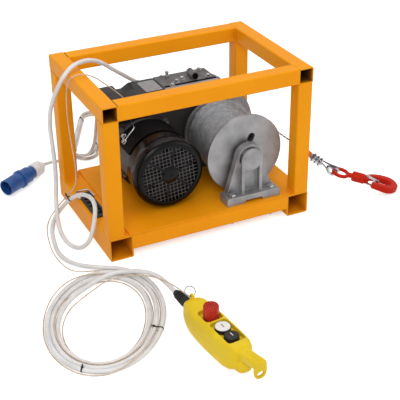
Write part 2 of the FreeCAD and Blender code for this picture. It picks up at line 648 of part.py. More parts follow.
# Control box on the gearbox pad, its lid notched behind for the control cable
box_left = motor_x - 75
box_right = box_left + box_width
box_front = case_front_y + 2
box_back = box_front + box_depth
lid_low = pad_top + box_height
lid_top = lid_low + lid_height
notch_left = box_left + 38
notch_drop = 12.0
notch_depth = 44
tray = box(box_left, box_right, box_front, box_back, pad_top, lid_low)
tray_room = box(box_left + box_wall, box_right - box_wall, box_front + box_wall, box_back - box_wall,
                pad_top + box_wall, lid_low + 1)
mains_x = box_left + 38
mains_z = pad_top + box_height / 2
mains_hole = rod_y(8, box_back - box_wall - 1, box_back + 1, mains_x, mains_z)
lobe_relief = rod_y(counter_lobe_r + free_gap, box_front - 1, case_rear_y + 1, counter_x, counter_z)
lobe_wall = rod_y(counter_lobe_r + free_gap + box_wall, box_front - 1, box_back + 1, counter_x, counter_z)
gland_out = V(-1, 0, 1).normalize()
gland_seat = V(box_right - 12.5, box_back + 18, lid_low - 10.5)
boss_low = gland_seat - V(9.2, 0, 9.2)
boss_high = gland_seat + V(9.2, 0, 9.2)
gland_boss = extrude_y([(boss_low.x, boss_low.z), (boss_high.x, boss_high.z), (box_right, boss_high.z),
                        (box_right, boss_low.z - 12), (boss_low.x, boss_low.z - 12)],
                       box_back - box_wall, gland_seat.y + 14)
gland_hole = Part.makeCylinder(8, 10, gland_seat - gland_out * 9, gland_out)
core_way = rod_y(5, box_back - box_wall - 1, gland_seat.y, gland_seat.x + 6, gland_seat.z - 6)
save("control_box", tray.fuse(gland_boss).cut([tray_room.cut(lobe_wall), lobe_relief, mains_hole, gland_hole,
                                               core_way]).removeSplitter())
lid_rim = 2.0
lid = box(box_left - lid_rim, box_right + lid_rim, box_front - lid_rim, box_back + lid_rim, lid_low, lid_top)
upright = [edge for edge in lid.Edges if edge.BoundBox.ZLength > lid_height - 0.01]
lid = lid.makeFillet(5, upright)
notch = extrude_y([(notch_left, lid_top + 1), (notch_left + 10, lid_top - notch_drop),
                   (notch_left + 24, lid_top - notch_drop), (notch_left + 45, lid_top),
                   (notch_left + 45, lid_top + 1)], box_back - notch_depth, box_back + lid_rim + 1)
lid_room = box(box_left + box_wall, box_right - box_wall, box_front + box_wall, box_back - box_wall,
               lid_low - 1, lid_top - notch_drop - box_wall)
save("control_box_lid", lid.cut([notch, lid_room]))


def cable_gland(seat, out, cable_d):
    """Hexagon body, domed nut and tapered bend relief, bored for its cable."""
    along = lambda reach: seat + out * reach
    body = hex_bar(12.5, seat, out, 8)
    nut = Part.makeCylinder(11, 12, along(8), out)
    relief = Part.makeCone(10, cable_d / 2 + 1.5, gland_length - 20, along(20), out)
    stub = Part.makeCylinder(7.5, 8, along(-8), out)
    bore = Part.makeCylinder(cable_d / 2 - 1, gland_length + 8, along(-8), out)
    return body.fuse([nut, relief, stub]).cut(bore).removeSplitter()


save("cable_glands", cable_gland(gland_seat, gland_out, control_cable_d),
     cable_gland(V(mains_x, box_back, mains_z), Y_BACK, mains_lead_d))

# Panel connector in the left base tube: a rim on the tube's face and an insert of pole blocks
rim_top = base_size + connector_rim
rim = rounded_face(connector_low.x, connector_low.x + connector_width, connector_low.y,
                   connector_low.y + connector_length, 4, along_z(base_size)).extrude(V(0, 0, connector_rim))
skirt_in = connector_rim + seat_gap
skirt = box(connector_low.x + skirt_in, connector_low.x + connector_width - skirt_in,
            connector_low.y + skirt_in, connector_low.y + connector_length - skirt_in,
            base_size - connector_depth, base_size)
well = box(connector_low.x + 6, connector_low.x + connector_width - 6, connector_low.y + 6,
           connector_low.y + connector_length - 6, base_size - connector_depth + 2, rim_top + 1)
pole_pitch = (connector_length - 20) / 6
pole_ys = [connector_low.y + 11 + pole_pitch * i for i in range(6)]
poles = [box(connector_low.x + 8, connector_low.x + connector_width - 8, y, y + 12,
             base_size - connector_depth + 2, base_size - 1)
         for y in pole_ys]
save("panel_connector", rim.fuse(skirt).cut(well).removeSplitter(), *poles)

# Bolts of the pedestal, gearbox feet, gearbox rim and motor flange, with their nuts
bolts = []
for x in pedestal_bolt_xs:
    bolts.append(hex_bolt(bolt_r, V(x, pedestal_bolt_y, foot_top), Z_UP, foot_top - cross_low + 14))
    nut = hex_bar(1.85 * bolt_r, V(x, pedestal_bolt_y, cross_low - 9), Z_UP, 9)
    nut_bore = rod(bolt_r + seat_gap, V(x, pedestal_bolt_y, cross_low - 10),
                   V(x, pedestal_bolt_y, cross_low + 1))
    bolts.append(nut.cut(nut_bore))
for x, y in foot_bolt_spots:
    bolts.append(hex_bolt(bolt_r, V(x, y, base_size), V(0, 0, -1), deck_thick + foot_height - 2))
bolts += [hex_bolt(small_bolt_r, V(x, case_rear_y, z), Y_BACK, rim_length - 1) for x, z in rim_bolts]
bolts += [hex_bolt(small_bolt_r, V(x, top_bolt_y, case_top), Z_UP, 12) for x in top_bolt_xs]
bolts += [hex_bolt(small_bolt_r, V(spot.x, front_shield_y, spot.z), V(0, -1, 0), shield_thick + lug_bite)
          for spot in lug_bolts]
save("machine_bolts", *bolts)

# Wire rope from the top of the winding down to a thimble eye closed by three clips
fall = math.radians(rope_fall)
rope_way = V(math.cos(fall), 0, -math.sin(fall))
lift = V(math.sin(fall), 0, math.cos(fall))
rope_y = winding_front_y + rope_d * 1.72
rope_start = V(drum_x, rope_y, drum_z) + lift * (winding_r + rope_d / 2 + free_gap)
thimble_at = rope_start + rope_way * rope_length
hook_way = V(math.cos(math.radians(hook_pitch)) * math.cos(math.radians(hook_yaw)),
             math.cos(math.radians(hook_pitch)) * math.sin(math.radians(hook_yaw)),
             -math.sin(math.radians(hook_pitch)))
hook_side = V(-math.sin(math.radians(hook_yaw)), math.cos(math.radians(hook_yaw)), 0)
hook_up = hook_way.cross(hook_side)
eye_normal = (hook_side - rope_way * hook_side.dot(rope_way)).normalize()
eye_lift = eye_normal.cross(rope_way)
rope_frame = frame_matrix(thimble_at, rope_way, eye_lift, eye_normal)
groove_r = thimble_r + thimble_sheet + rope_d / 2 + free_gap / 2
bow = math.radians(thimble_half_angle)
loop_turn = (math.pi + 2 * bow) / 4
corner_r = groove_r / math.cos(loop_turn / 2)
first_corner = math.pi / 2 + bow - loop_turn / 2
loop = [(corner_r * math.cos(first_corner - loop_turn * i),
         corner_r * math.sin(first_corner - loop_turn * i), 0)
        for i in range(4)]
legs_gap = rope_d + 0.6
split_at = groove_r / math.sin(bow) + 8
clip_first = 21.0
clip_pitch = 14.0
tail_length = clip_first + 2 * clip_pitch + 10
rope_route = [(-rope_length, 0, 0), (-split_at, 0, 0)] + loop
rope_route += [(-split_at, -legs_gap, 0), (-split_at - tail_length, -legs_gap, 0)]
save("wire_rope", placed(cord("wire_rope", rope_route, rope_d), rope_frame))


def teardrop(radius, half_width_z):
    """Teardrop prism about the thimble's end, its point towards the rope."""
    point = radius / math.sin(bow)
    shoulder_x = -radius * math.sin(bow)
    shoulder_y = radius * math.cos(bow)
    low = -half_width_z
    edges = [Part.LineSegment(V(-point, 0, low), V(shoulder_x, -shoulder_y, low)),
             Part.Arc(V(shoulder_x, -shoulder_y, low), V(radius, 0, low), V(shoulder_x, shoulder_y, low)),
             Part.LineSegment(V(shoulder_x, shoulder_y, low), V(-point, 0, low))]
    face = Part.Face(Part.Wire([edge.toShape() for edge in edges]))
    return face.extrude(V(0, 0, 2 * half_width_z))


groove_floor = thimble_r + thimble_sheet
groove_half = rope_d / 2 + free_gap
thimble_lip = 1.2
thimble = teardrop(groove_floor + 3, groove_half + thimble_lip).cut(teardrop(thimble_r, groove_half + 3))
thimble = thimble.cut(teardrop(groove_floor + 5, groove_half).cut(teardrop(groove_floor, groove_half + 1)))
mouth = box(-80, -split_at + 12, -40, 40, -20, 20)
save("rope_thimble", placed(thimble.cut(mouth), rope_frame))
rod_r = 2.0
bow_r = rope_d / 2 + free_gap + rod_r
clips = []
for clip in range(3):
    r = -split_at - clip_first - clip_pitch * clip
    legs = [V(r, 12, -bow_r), V(r, -legs_gap, -bow_r), V(r, -legs_gap, bow_r), V(r, 12, bow_r)]
    bend = Part.Arc(legs[1], V(r, -legs_gap - bow_r, 0), legs[2]).toShape()
    u_path = Part.Wire([Part.makeLine(legs[0], legs[1]), bend, Part.makeLine(legs[2], legs[3])])
    u_bolt = u_path.makePipeShell([Part.Wire(Part.makeCircle(rod_r, legs[0], V(0, -1, 0)))], True, False)
    saddle_block = box(r - 5, r + 5, 0.5, 6.5, -9.5, 9.5)
    rope_seat = rod(rope_d / 2 + seat_gap, V(r - 6, 0, 0), V(r + 6, 0, 0))
    leg_holes = [rod(rod_r + seat_gap, V(r, 0, side), V(r, 8, side)) for side in (-bow_r, bow_r)]
    nuts = [hex_bar(4, V(r, 6.5, side), Y_BACK, 3.5).cut(rod(rod_r + seat_gap, V(r, 6, side), V(r, 11, side)))
            for side in (-bow_r, bow_r)]
    clips += [u_bolt, saddle_block.cut([rope_seat] + leg_holes)] + nuts
save("rope_clips", *[placed(piece, rope_frame) for piece in clips])
stop_end = -split_at - tail_length - 6
stop = rod(rope_d / 2 + 5, V(stop_end - 18, 0, 0), V(stop_end, 0, 0))
stop = stop.cut(rod(rope_d / 2 + seat_gap, V(stop_end - 19, 0, 0), V(stop_end + 1, 0, 0)))
save("rope_stop", placed(stop, rope_frame))

# Swivel hook. Its eye's end bar passes through the thimble, and its plane lies near the floor.
eye_bar = thimble_at
hook_frame = frame_matrix(eye_bar, hook_way, hook_side, hook_up)
X_ALONG = V(1, 0, 0)
eye_ring = Part.makeTorus(hook_eye_r, hook_bar_r, V(hook_eye_r, 0, 0), Z_UP)
shank_start = 2 * hook_eye_r
collar_start = shank_start + 12
collar_length = 35.0
shank = rod(hook_shank_r, V(shank_start, 0, 0), V(collar_start + 22, 0, 0))
shank_head = rod(hook_shank_r + 3, V(collar_start + 14, 0, 0), V(collar_start + 22, 0, 0))
save("hook_eye", placed(eye_ring.fuse([shank, shank_head]).removeSplitter(), hook_frame))
neck = collar_start + collar_length
bowl_x = neck + 56
throat = hook_throat_r
outer = hook_throat_r + hook_bowl
hook_chamfer = 3.0


def hook_outline(inset, z):
    """Outline of the hook at height z in its own frame, moved in by inset."""
    at = lambda x, y: V(x, y, z)
    back = outer - inset
    bight = throat + inset
    edges = [
        Part.LineSegment(at(neck, 13 - inset), at(neck + 12, 22 - inset)),
        Part.Arc(at(neck + 12, 22 - inset), at(neck + 30, back - 4), at(bowl_x, back)),
        Part.Arc(at(bowl_x, back), at(bowl_x + back, 0), at(bowl_x, -back)),
        Part.Arc(at(bowl_x, -back), at(neck + 34, 5 - back), at(neck + 19 + inset, -throat - 9)),
        Part.Arc(at(neck + 19 + inset, -throat - 9), at(neck + 18.5 + inset, -throat - 5),
                 at(neck + 23, -bight)),
        Part.LineSegment(at(neck + 23, -bight), at(bowl_x, -bight)),
        Part.Arc(at(bowl_x, -bight), at(bowl_x + bight, 0), at(bowl_x, bight)),
        Part.LineSegment(at(bowl_x, bight), at(neck + 24, bight)),
        Part.Arc(at(neck + 24, bight), at(neck + 13 - inset, 5), at(neck + 10 - inset, inset - 8)),
        Part.LineSegment(at(neck + 10 - inset, inset - 8), at(neck, inset - 13)),
        Part.LineSegment(at(neck, inset - 13), at(neck, 13 - inset)),
    ]
    return Part.Wire([edge.toShape() for edge in edges])


face_z = hook_thick / 2
flat_z = face_z - hook_chamfer
hook = Part.makeLoft([hook_outline(hook_chamfer, -face_z), hook_outline(0, -flat_z), hook_outline(0, flat_z),
                      hook_outline(hook_chamfer, face_z)], True, True)
collar = rod(14, V(collar_start, 0, 0), V(neck, 0, 0))
collar_rims = [edge for edge in collar.Edges if edge.BoundBox.XLength < 0.01]
collar = collar.makeChamfer(2.5, collar_rims)
shank_room = rod(hook_shank_r + running_gap, V(collar_start - 1, 0, 0), V(collar_start + 14, 0, 0))
head_room = rod(hook_shank_r + 3 + running_gap, V(collar_start + 14 - running_gap, 0, 0),
                V(collar_start + 22 + running_gap, 0, 0))
pin_x = neck + 7.5
pin_y = 2.0
pin_hole = rod(latch_pin_r + seat_gap, V(pin_x, pin_y, -20), V(pin_x, pin_y, 20))
hook = hook.fuse(collar).cut([shank_room, head_room, pin_hole]).removeSplitter()
save("hook_body", placed(hook, hook_frame))
ear_in = hook_thick / 2 + free_gap
ear_out = ear_in + latch_sheet
pin_half = ear_out + 1.5
save("latch_pin", placed(rod(latch_pin_r, V(pin_x, pin_y, -pin_half), V(pin_x, pin_y, pin_half)), hook_frame))
latch_tip = V(neck + 37, -throat + 2.2 + latch_sheet, 0)
latch_way = (latch_tip - V(pin_x, pin_y, 0)).normalize()
latch_side = V(-latch_way.y, latch_way.x, 0)
latch_reach = (latch_tip - V(pin_x, pin_y, 0)).Length
latch_frame = frame_matrix(V(pin_x, pin_y, 0), latch_way, latch_side, Z_UP)
ears = []
for side in (-ear_out, ear_in):
    ear = rod(6, V(0, 0, side), V(0, 0, side + latch_sheet))
    cheek = box(0, latch_reach * 0.72, -6, 3, side, side + latch_sheet)
    ears.append(ear.fuse(cheek))
tongue = box(latch_reach * 0.52, latch_reach, -latch_sheet / 2, latch_sheet / 2, -ear_out, ear_out)
latch_holes = rod(latch_pin_r + running_gap, V(0, 0, -20), V(0, 0, 20))
latch = tongue.fuse(ears).cut(latch_holes).removeSplitter()
save("hook_latch", placed(placed(latch, latch_frame), hook_frame))

# Pendant control, drawn along its own length from the cable end, then laid on the floor
yaw = math.radians(pendant_yaw)
pendant_frame = frame_matrix(V(pendant_x, pendant_y, 0), V(math.cos(yaw), math.sin(yaw), 0),
                             V(-math.sin(yaw), math.cos(yaw), 0), Z_UP)
half_pendant = pendant_width / 2
top = pendant_height
side_at = lambda s, w: V(s, -half_pendant - 5, w)
side_edges = [
    Part.Arc(side_at(pendant_start, top - 20), side_at(pendant_start + 9, top - 7), side_at(pendant_start + 30, top)),
    Part.LineSegment(side_at(pendant_start + 30, top), side_at(220, top)),
    Part.Arc(side_at(220, top), side_at(228, top - 3), side_at(232, top - 12)),
    Part.LineSegment(side_at(232, top - 12), side_at(222, 0)),
    Part.LineSegment(side_at(222, 0), side_at(150, 0)),
    Part.Arc(side_at(150, 0), side_at(72, 8), side_at(pendant_start, 26)),
    Part.LineSegment(side_at(pendant_start, 26), side_at(pendant_start, top - 20)),
]
side_face = Part.Face(Part.Wire([edge.toShape() for edge in side_edges]))
side_block = side_face.extrude(V(0, pendant_width + 10, 0))
plan_at = lambda s, v: V(s, v, -1)


def pendant_plan(start, end, end_half, middle_half, nose):
    """Plan of the pendant: a tapered cable end, straight sides and a rounded far end."""
    edges = [
        Part.LineSegment(plan_at(start, -end_half), plan_at(start, end_half)),
        Part.Arc(plan_at(start, end_half), plan_at(start + 32, middle_half - 4),
                 plan_at(start + 78, middle_half)),
        Part.LineSegment(plan_at(start + 78, middle_half), plan_at(end - nose, middle_half)),
        Part.Arc(plan_at(end - nose, middle_half), plan_at(end - nose * 0.3, middle_half - nose * 0.3),
                 plan_at(end, middle_half - nose)),
        Part.LineSegment(plan_at(end, middle_half - nose), plan_at(end, nose - middle_half)),
        Part.Arc(plan_at(end, nose - middle_half), plan_at(end - nose * 0.3, nose * 0.3 - middle_half),
                 plan_at(end - nose, -middle_half)),
        Part.LineSegment(plan_at(end - nose, -middle_half), plan_at(start + 78, -middle_half)),
        Part.Arc(plan_at(start + 78, -middle_half), plan_at(start + 32, 4 - middle_half),
                 plan_at(start, -end_half)),
    ]
    return Part.Face(Part.Wire([edge.toShape() for edge in edges])).extrude(V(0, 0, pendant_height + 20))


body = side_block.common(pendant_plan(pendant_start, 234, 14, half_pendant, 15))
handle_half = 16.0
tail_end = 294.0
tail_top = 52.0
handle = extrude_y([(200, 30), (252, 27), (tail_end - 14, 24), (tail_end, 24), (tail_end, tail_top - 6),
                    (tail_end - 8, tail_top), (240, 60), (200, 62)], -handle_half, handle_half)
handle_edges = [edge for edge in handle.Edges if edge.BoundBox.XLength > 25 and edge.BoundBox.YLength < 0.01]
handle = handle.makeFillet(6, handle_edges)
heel = Part.makeCylinder(17, 2 * handle_half, V(234, -handle_half, 17), Y_BACK)
tail_thick = 12.0
tail_low = 3.0
tail_eye_w = tail_low + handle_half
tail = box(tail_end - tail_thick, tail_end, -handle_half, handle_half, tail_eye_w, 34)
tail = tail.fuse(Part.makeCylinder(handle_half, tail_thick, V(tail_end - tail_thick, 0, tail_eye_w), X_ALONG))
slot_r = 4.5
slot_half = 5.0
slot_w = tail_eye_w - 4
slot_from = tail_end - tail_thick - 5
slot_to = tail_end + 5
tail_slot = box(slot_from, slot_to, -slot_half, slot_half, slot_w - slot_r, slot_w + slot_r)
slot_ends = [rod(slot_r, V(slot_from, v, slot_w), V(slot_to, v, slot_w)) for v in (-slot_half, slot_half)]
tail_slot = tail_slot.fuse(slot_ends)
lug_s = pendant_start + 12
lug = box(lug_s - 5, lug_s + 5, -4, 4, top - 16, top + 9)
ring_hole_w = top + 4
lug_hole = rod(2.6, V(lug_s, -6, ring_hole_w), V(lug_s, 6, ring_hole_w))
body = body.fuse([handle, heel, tail, lug]).cut([tail_slot, lug_hole]).removeSplitter()
pockets = [rounded_face(80, 124, -half_pendant + 8, half_pendant - 8, 8, along_z(pocket_floor)),
           rounded_face(129, 208, -half_pendant + 8, half_pendant - 8, 8, along_z(pocket_floor))]
pocket_cuts = [face.extrude(V(0, 0, 30)) for face in pockets]
inner_half = half_pendant - pendant_wall
room_low = 8.0
block_half = 12.0
room_side = extrude_y([(pendant_start + 24, 36), (72, 18), (estop_at - block_half - 2, room_low), (212, room_low),
                       (212, pocket_floor - 6), (pendant_start + 24, pocket_floor - 6)],
                      -half_pendant, half_pendant)
pendant_room = room_side.common(pendant_plan(pendant_start + 24, 214, 9, inner_half, 10))
stem_holes = [rod(button_stem_r + running_gap, V(s, 0, 40), V(s, 0, 60)) for s in (white_at, black_at)]
stem_holes.append(rod(8 + running_gap, V(estop_at, 0, 40), V(estop_at, 0, 60)))
boot_w = 36.0
boot_hole = rod(control_cable_d / 2, V(pendant_start - 1, 0, boot_w), V(pendant_start + 25, 0, boot_w))
body = body.cut([pendant_room, boot_hole] + pocket_cuts + stem_holes)
upper = box(-60, 320, -60, 60, pendant_split, 120)
lower = box(-60, 320, -60, 60, -1, pendant_split)
save("pendant_front_shell", placed(body.common(upper), pendant_frame))
save("pendant_back_shell", placed(body.common(lower), pendant_frame))
boot_profile = [(0, 12.5), (-16, 12)]
for i in range(4):
    rib = -18 - 9 * i
    boot_profile += [(rib, 12.6 - i * 0.6), (rib - 5, 12.3 - i * 0.6), (rib - 5.5, 9.6 - i * 0.4),
                     (rib - 8.5, 9.4 - i * 0.4)]
boot_profile += [(-58, 8.2), (-58, control_cable_d / 2 - 1), (0, control_cable_d / 2 - 1)]
boot_face = polygon_face([V(pendant_start + s, 0, boot_w + r) for s, r in boot_profile])
boot = boot_face.revolve(V(0, 0, boot_w), X_ALONG, 360)
save("pendant_boot", placed(boot, pendant_frame))
collar_top = pocket_floor + 6
collar_ring = rod(button_r, V(estop_at, 0, pocket_floor), V(estop_at, 0, collar_top))
collar_bore = rod(8 + running_gap, V(estop_at, 0, 50), V(estop_at, 0, 62))
save("estop_collar", placed(collar_ring.cut(collar_bore), pendant_frame))
stem_low = 44.5
stem_top = collar_top + 12
save("estop_stem", placed(rod(8, V(estop_at, 0, stem_low), V(estop_at, 0, stem_top)), pendant_frame))
cap_low = collar_top + button_travel + 1
cap_top = cap_low + 28
cap = rod(button_r - 1, V(estop_at, 0, cap_low), V(estop_at, 0, cap_top))
cap_rim = [edge for edge in cap.Edges if edge.CenterOfMass.z > cap_top - 0.01]
cap_bore = rod(8 + running_gap, V(estop_at, 0, cap_low - 1), V(estop_at, 0, stem_top))
cap = cap.makeFillet(3, cap_rim).cut(cap_bore)
save("estop_cap", placed(cap, pendant_frame))
for name, s in (("white_button", white_at), ("black_button", black_at)):
    disc = rod(button_r, V(s, 0, pocket_floor + button_travel + 1), V(s, 0, top + 0.5))
    disc_rim = [edge for edge in disc.Edges if edge.CenterOfMass.z > top + 0.49]
    stem = rod(button_stem_r, V(s, 0, stem_low), V(s, 0, pocket_floor + button_travel + 2))
    save(name, placed(disc.makeFillet(2, disc_rim).fuse(stem), pendant_frame))
contacts = [box(s - block_half, s + block_half, -14, 14, room_low, stem_low - button_travel - 0.5)
            for s in (estop_at, white_at, black_at)]
save("contact_blocks", *[placed(block, pendant_frame) for block in contacts])
ring_r = 12.0
ring_lean = math.radians(143)
ring_hang = ring_r - 1.2
ring_centre = V(lug_s + ring_hang * math.cos(ring_lean), 0, ring_hole_w + ring_hang * math.sin(ring_lean))
ring_normal = V(-math.sin(ring_lean), 0, math.cos(ring_lean))
split_ring = Part.makeTorus(ring_r, 1.1, ring_centre, ring_normal)
save("pendant_ring", placed(split_ring, pendant_frame))

# Control cable: gland, over the left rail, down to a loop at the base tube, along the floor into its coil
gland_end = gland_seat + gland_out * gland_length
control_route = [
    (gland_end.x, gland_end.y, gland_end.z), (gland_end.x - 17, gland_end.y - 3, gland_end.z + 13),
    (gland_end.x - 40, gland_end.y - 13, gland_end.z + 32), (gland_end.x - 76, gland_end.y - 34, gland_end.z + 62),
    (left_side + 113, 118, frame_height - 16), (left_side + 75, 91, frame_height + 6),
    (left_side + 41, 63, frame_height + 16), (left_side + 11, 40, frame_height + 18),
    (left_side - 14, 29, frame_height + 1), (left_side - 30, 34, frame_height - 29),
    (left_side - 39, 50, frame_height - 63), (left_side - 43, 70, 305), (left_side - 44, 82, 262),
    (left_side - 42, 83, 216), (left_side - 41, 78, 168),
    (left_side - 43, 73, 120), (left_side - 49, 66, 76), (left_side - 57, 46, 36),
    (left_side - 66, 8, 12), (left_side - 70, -40, 7), (left_side - 66, -80, 7),
    (left_side - 52, -110, 10), (left_side - 34, -125, 28), (left_side - 20, -125, 58),
    (left_side - 6, -108, 86), (left_side + 8, -74, 100), (left_side + 14, -28, 98),
    (left_side + 4, 20, 86), (left_side - 16, 53, 60), (left_side - 41, 65, 30), (left_side - 65, 50, 12),
    (left_side - 83, 14, 7), (left_side - 96, -38, 7), (left_side - 104, -92, 7),
    (left_side - 100, front_side + 51.5, 7), (left_side - 77, front_side + 11.5, 7),
    (left_side - 38, front_side - 17.5, 7)]
save("control_cable_upper", cord("control_cable_upper", control_route, control_cable_d))
coil_centre = V(left_side - 92, front_side - 206.5, 0)
coil_way = V(0.435, 0.900, 0).normalize()
coil_long = 202.0
coil_wide = 138.0
coil_band = 48.0
coil_height = 25.0


def ellipse_face(centre, way, long_r, wide_r):
    side = V(-way.y, way.x, 0)
    curve = Part.Ellipse(centre + way * long_r, centre + side * wide_r, centre)
    return Part.Face(Part.Wire(curve.toShape()))


coil_ring = ellipse_face(coil_centre, coil_way, coil_long, coil_wide)
coil_ring = coil_ring.cut(ellipse_face(coil_centre, coil_way, coil_long - coil_band, coil_wide - coil_band))
save("control_cable_coil", coil_ring.extrude(V(0, 0, coil_height)))
boot_end = pendant_frame.multVec(V(pendant_start - 58, 0, boot_w))
lower_route = [
    (left_side + 13, front_side - 84.5, 22), (left_side + 37, front_side - 109.5, 29),
    (left_side + 56, front_side - 142.5, 34), (left_side + 64, front_side - 179.5, 36),
    (boot_end.x, boot_end.y, boot_w)]
save("control_cable_lower", cord("control_cable_lower", lower_route, control_cable_d))

# Strain wire: from the box lid over the rail, beside the control cable to the coil, and on to the lug
wire_anchor = V(box_left + 36, box_front + 2, lid_top)
strain_route = [
    (wire_anchor.x, wire_anchor.y, wire_anchor.z),
    (wire_anchor.x - 17, wire_anchor.y - 8, wire_anchor.z + 20),
    (wire_anchor.x - 39, wire_anchor.y - 17, wire_anchor.z + 44), (left_side + 88, 24, frame_height - 36),
    (left_side + 59, 9, frame_height - 7), (left_side + 29, -2, frame_height + 11),
    (left_side + 2, 2, frame_height + 10), (left_side - 12, 14, frame_height - 12),
    (left_side - 10, 33, frame_height - 58), (left_side - 9, 42, 300), (left_side - 8, 37, 254),
    (left_side - 8, 23, 208), (left_side - 8, 9, 164), (left_side - 9, 12, 124), (left_side - 14, 36, 92),
    (left_side - 26, 64, 59), (left_side - 48, 76, 28), (left_side - 74, 64, 8), (left_side - 94, 24, 4),
    (left_side - 107, -34, 4), (left_side - 115, -92, 4), (left_side - 112, front_side + 45.5, 4),
    (left_side - 100, front_side + 5.5, 4), (left_side - 84, front_side - 24.5, 6)]
save("strain_wire_upper", cord("strain_wire_upper", strain_route, strain_wire_d))
wire_lug = pendant_frame.multVec(V(lug_s - 5, 0, top - 4))
wire_lower_route = [
    (left_side + 3, front_side - 103.5, 23), (left_side + 27, front_side - 124.5, 30),
    (left_side + 46, front_side - 154.5, 38), (left_side + 55, front_side - 194.5, 49),
    (left_side + 60, front_side - 236.5, 60), (wire_lug.x, wire_lug.y, wire_lug.z)]
save("strain_wire_lower", cord("strain_wire_lower", wire_lower_route, strain_wire_d))

# Mains lead: out of the box's back, down behind the frame to a tied hank, then to its plug
mains_start = V(mains_x, box_back + gland_length, mains_z)
mains_route = [
    (mains_start.x, mains_start.y, mains_start.z), (mains_x - 1, half_depth + 30.5, mains_z - 2),
    (mains_x - 4, half_depth + 52.5, mains_z - 14), (mains_x - 8, half_depth + 68.5, mains_z - 39),
    (mains_x - 12, half_depth + 76.5, 180), (mains_x - 16, half_depth + 78.5, 136),
    (mains_x - 20, half_depth + 82.5, 92), (mains_x - 24, half_depth + 95.5, 52),
    (mains_x - 30, half_depth + 124.5, 22), (mains_x - 34, half_depth + 162.5, 10)]
save("mains_lead_upper", cord("mains_lead_upper", mains_route, mains_lead_d))
hank_start = V(mains_x - 36, half_depth + 158.5, 0)
hank_end = hank_start + V(143, 296, 0)
hank_way = (hank_end - hank_start).normalize()
hank_side = V(-hank_way.y, hank_way.x, 0)
hank_frame = frame_matrix(hank_start, hank_way, hank_side, Z_UP)
hank_length = (hank_end - hank_start).Length
hank_half = 42.0
hank_gap = 22.0
hank_height = 20.0
hank = rounded_face(0, hank_length, -hank_half, hank_half, hank_half - 1, along_z(0))
hank_band = hank_half - hank_gap
hank_eye = rounded_face(hank_band, hank_length - hank_band, -hank_gap, hank_gap, hank_gap - 1, along_z(0))
save("mains_hank", placed(hank.cut(hank_eye).extrude(V(0, 0, hank_height)), hank_frame))
plug_at = V(mains_x - 158, half_depth + 143.5, 25.5)
plug_way = V(-0.839, -0.545, 0).normalize()
lead_end_route = [
    (mains_x - 51, half_depth + 179.5, 8), (mains_x - 74, half_depth + 192.5, 6),
    (mains_x - 100, half_depth + 192.5, 7), (mains_x - 130, half_depth + 174.5, 15),
    (plug_at.x, plug_at.y, plug_at.z)]
save("mains_lead_lower", cord("mains_lead_lower", lead_end_route, mains_lead_d))
plug_side = V(-plug_way.y, plug_way.x, 0)
plug_frame = frame_matrix(plug_at, plug_way, plug_side, Z_UP)


def revolved(profile):
    return polygon_face([V(x, 0, r) for x, r in profile]).revolve(V(0, 0, 0), X_ALONG, 360)


collar_nut = revolved([(0, 9), (10, 14), (16, 20), (48, 21), (48, 4), (0, 4)])
save("plug_collar", placed(collar_nut, plug_frame))
plug_shell = revolved([(48, 4), (48, 17), (60, 17), (66, 22), (92, 22), (92, 25), (102, 25), (102, 22),
                       (156, 22), (156, 18.5), (110, 18.5), (110, 4)])
pins = [rod(2.6, V(110, 9 * math.cos(a), 9 * math.sin(a)), V(138, 9 * math.cos(a), 9 * math.sin(a)))
        for a in (math.radians(90), math.radians(210), math.radians(330))]
save("plug_body", placed(plug_shell, plug_frame), *[placed(pin, plug_frame) for pin in pins])
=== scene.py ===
import json
from math import atan2, copysign, cos, hypot, pi, radians, sin, sqrt

import bmesh
import bpy
from mathutils import Matrix, Vector
from mathutils.geometry import convex_hull_2d

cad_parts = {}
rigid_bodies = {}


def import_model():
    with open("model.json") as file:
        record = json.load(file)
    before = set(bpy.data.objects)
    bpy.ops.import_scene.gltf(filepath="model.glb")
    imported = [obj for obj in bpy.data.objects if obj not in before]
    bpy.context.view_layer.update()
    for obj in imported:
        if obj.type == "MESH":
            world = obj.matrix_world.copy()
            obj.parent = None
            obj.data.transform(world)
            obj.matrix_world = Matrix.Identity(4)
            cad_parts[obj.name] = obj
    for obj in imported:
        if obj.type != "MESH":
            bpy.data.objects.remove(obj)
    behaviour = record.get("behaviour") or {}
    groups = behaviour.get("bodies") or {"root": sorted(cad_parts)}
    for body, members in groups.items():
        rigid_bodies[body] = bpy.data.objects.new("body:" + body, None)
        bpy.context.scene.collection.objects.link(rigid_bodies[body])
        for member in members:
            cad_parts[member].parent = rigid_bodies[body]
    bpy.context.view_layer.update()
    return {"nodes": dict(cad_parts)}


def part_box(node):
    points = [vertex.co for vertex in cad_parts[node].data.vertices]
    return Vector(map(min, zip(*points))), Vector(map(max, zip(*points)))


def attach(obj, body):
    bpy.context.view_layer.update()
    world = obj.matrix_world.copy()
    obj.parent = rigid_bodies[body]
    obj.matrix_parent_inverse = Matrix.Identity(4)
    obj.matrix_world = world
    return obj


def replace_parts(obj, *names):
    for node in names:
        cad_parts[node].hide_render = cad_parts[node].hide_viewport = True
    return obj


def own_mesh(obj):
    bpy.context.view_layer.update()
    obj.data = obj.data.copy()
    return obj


for leftover in list(bpy.data.objects):
    bpy.data.objects.remove(leftover)
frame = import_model()

# ------ tube frame
# Square steel tube, cut and MIG welded into an open cage on two wider base
# tubes, with a folded deck plate between them. The whole weldment is sprayed
# with orange polyester powder and baked.


def linear(hex_colour):
    """An sRGB hex colour as the linear RGBA that shader sockets take."""
    parts = [int(hex_colour[i : i + 2], 16) / 255 for i in (1, 3, 5)]
    return [c / 12.92 if c <= 0.04045 else ((c + 0.055) / 1.055) ** 2.4 for c in parts] + [1.0]


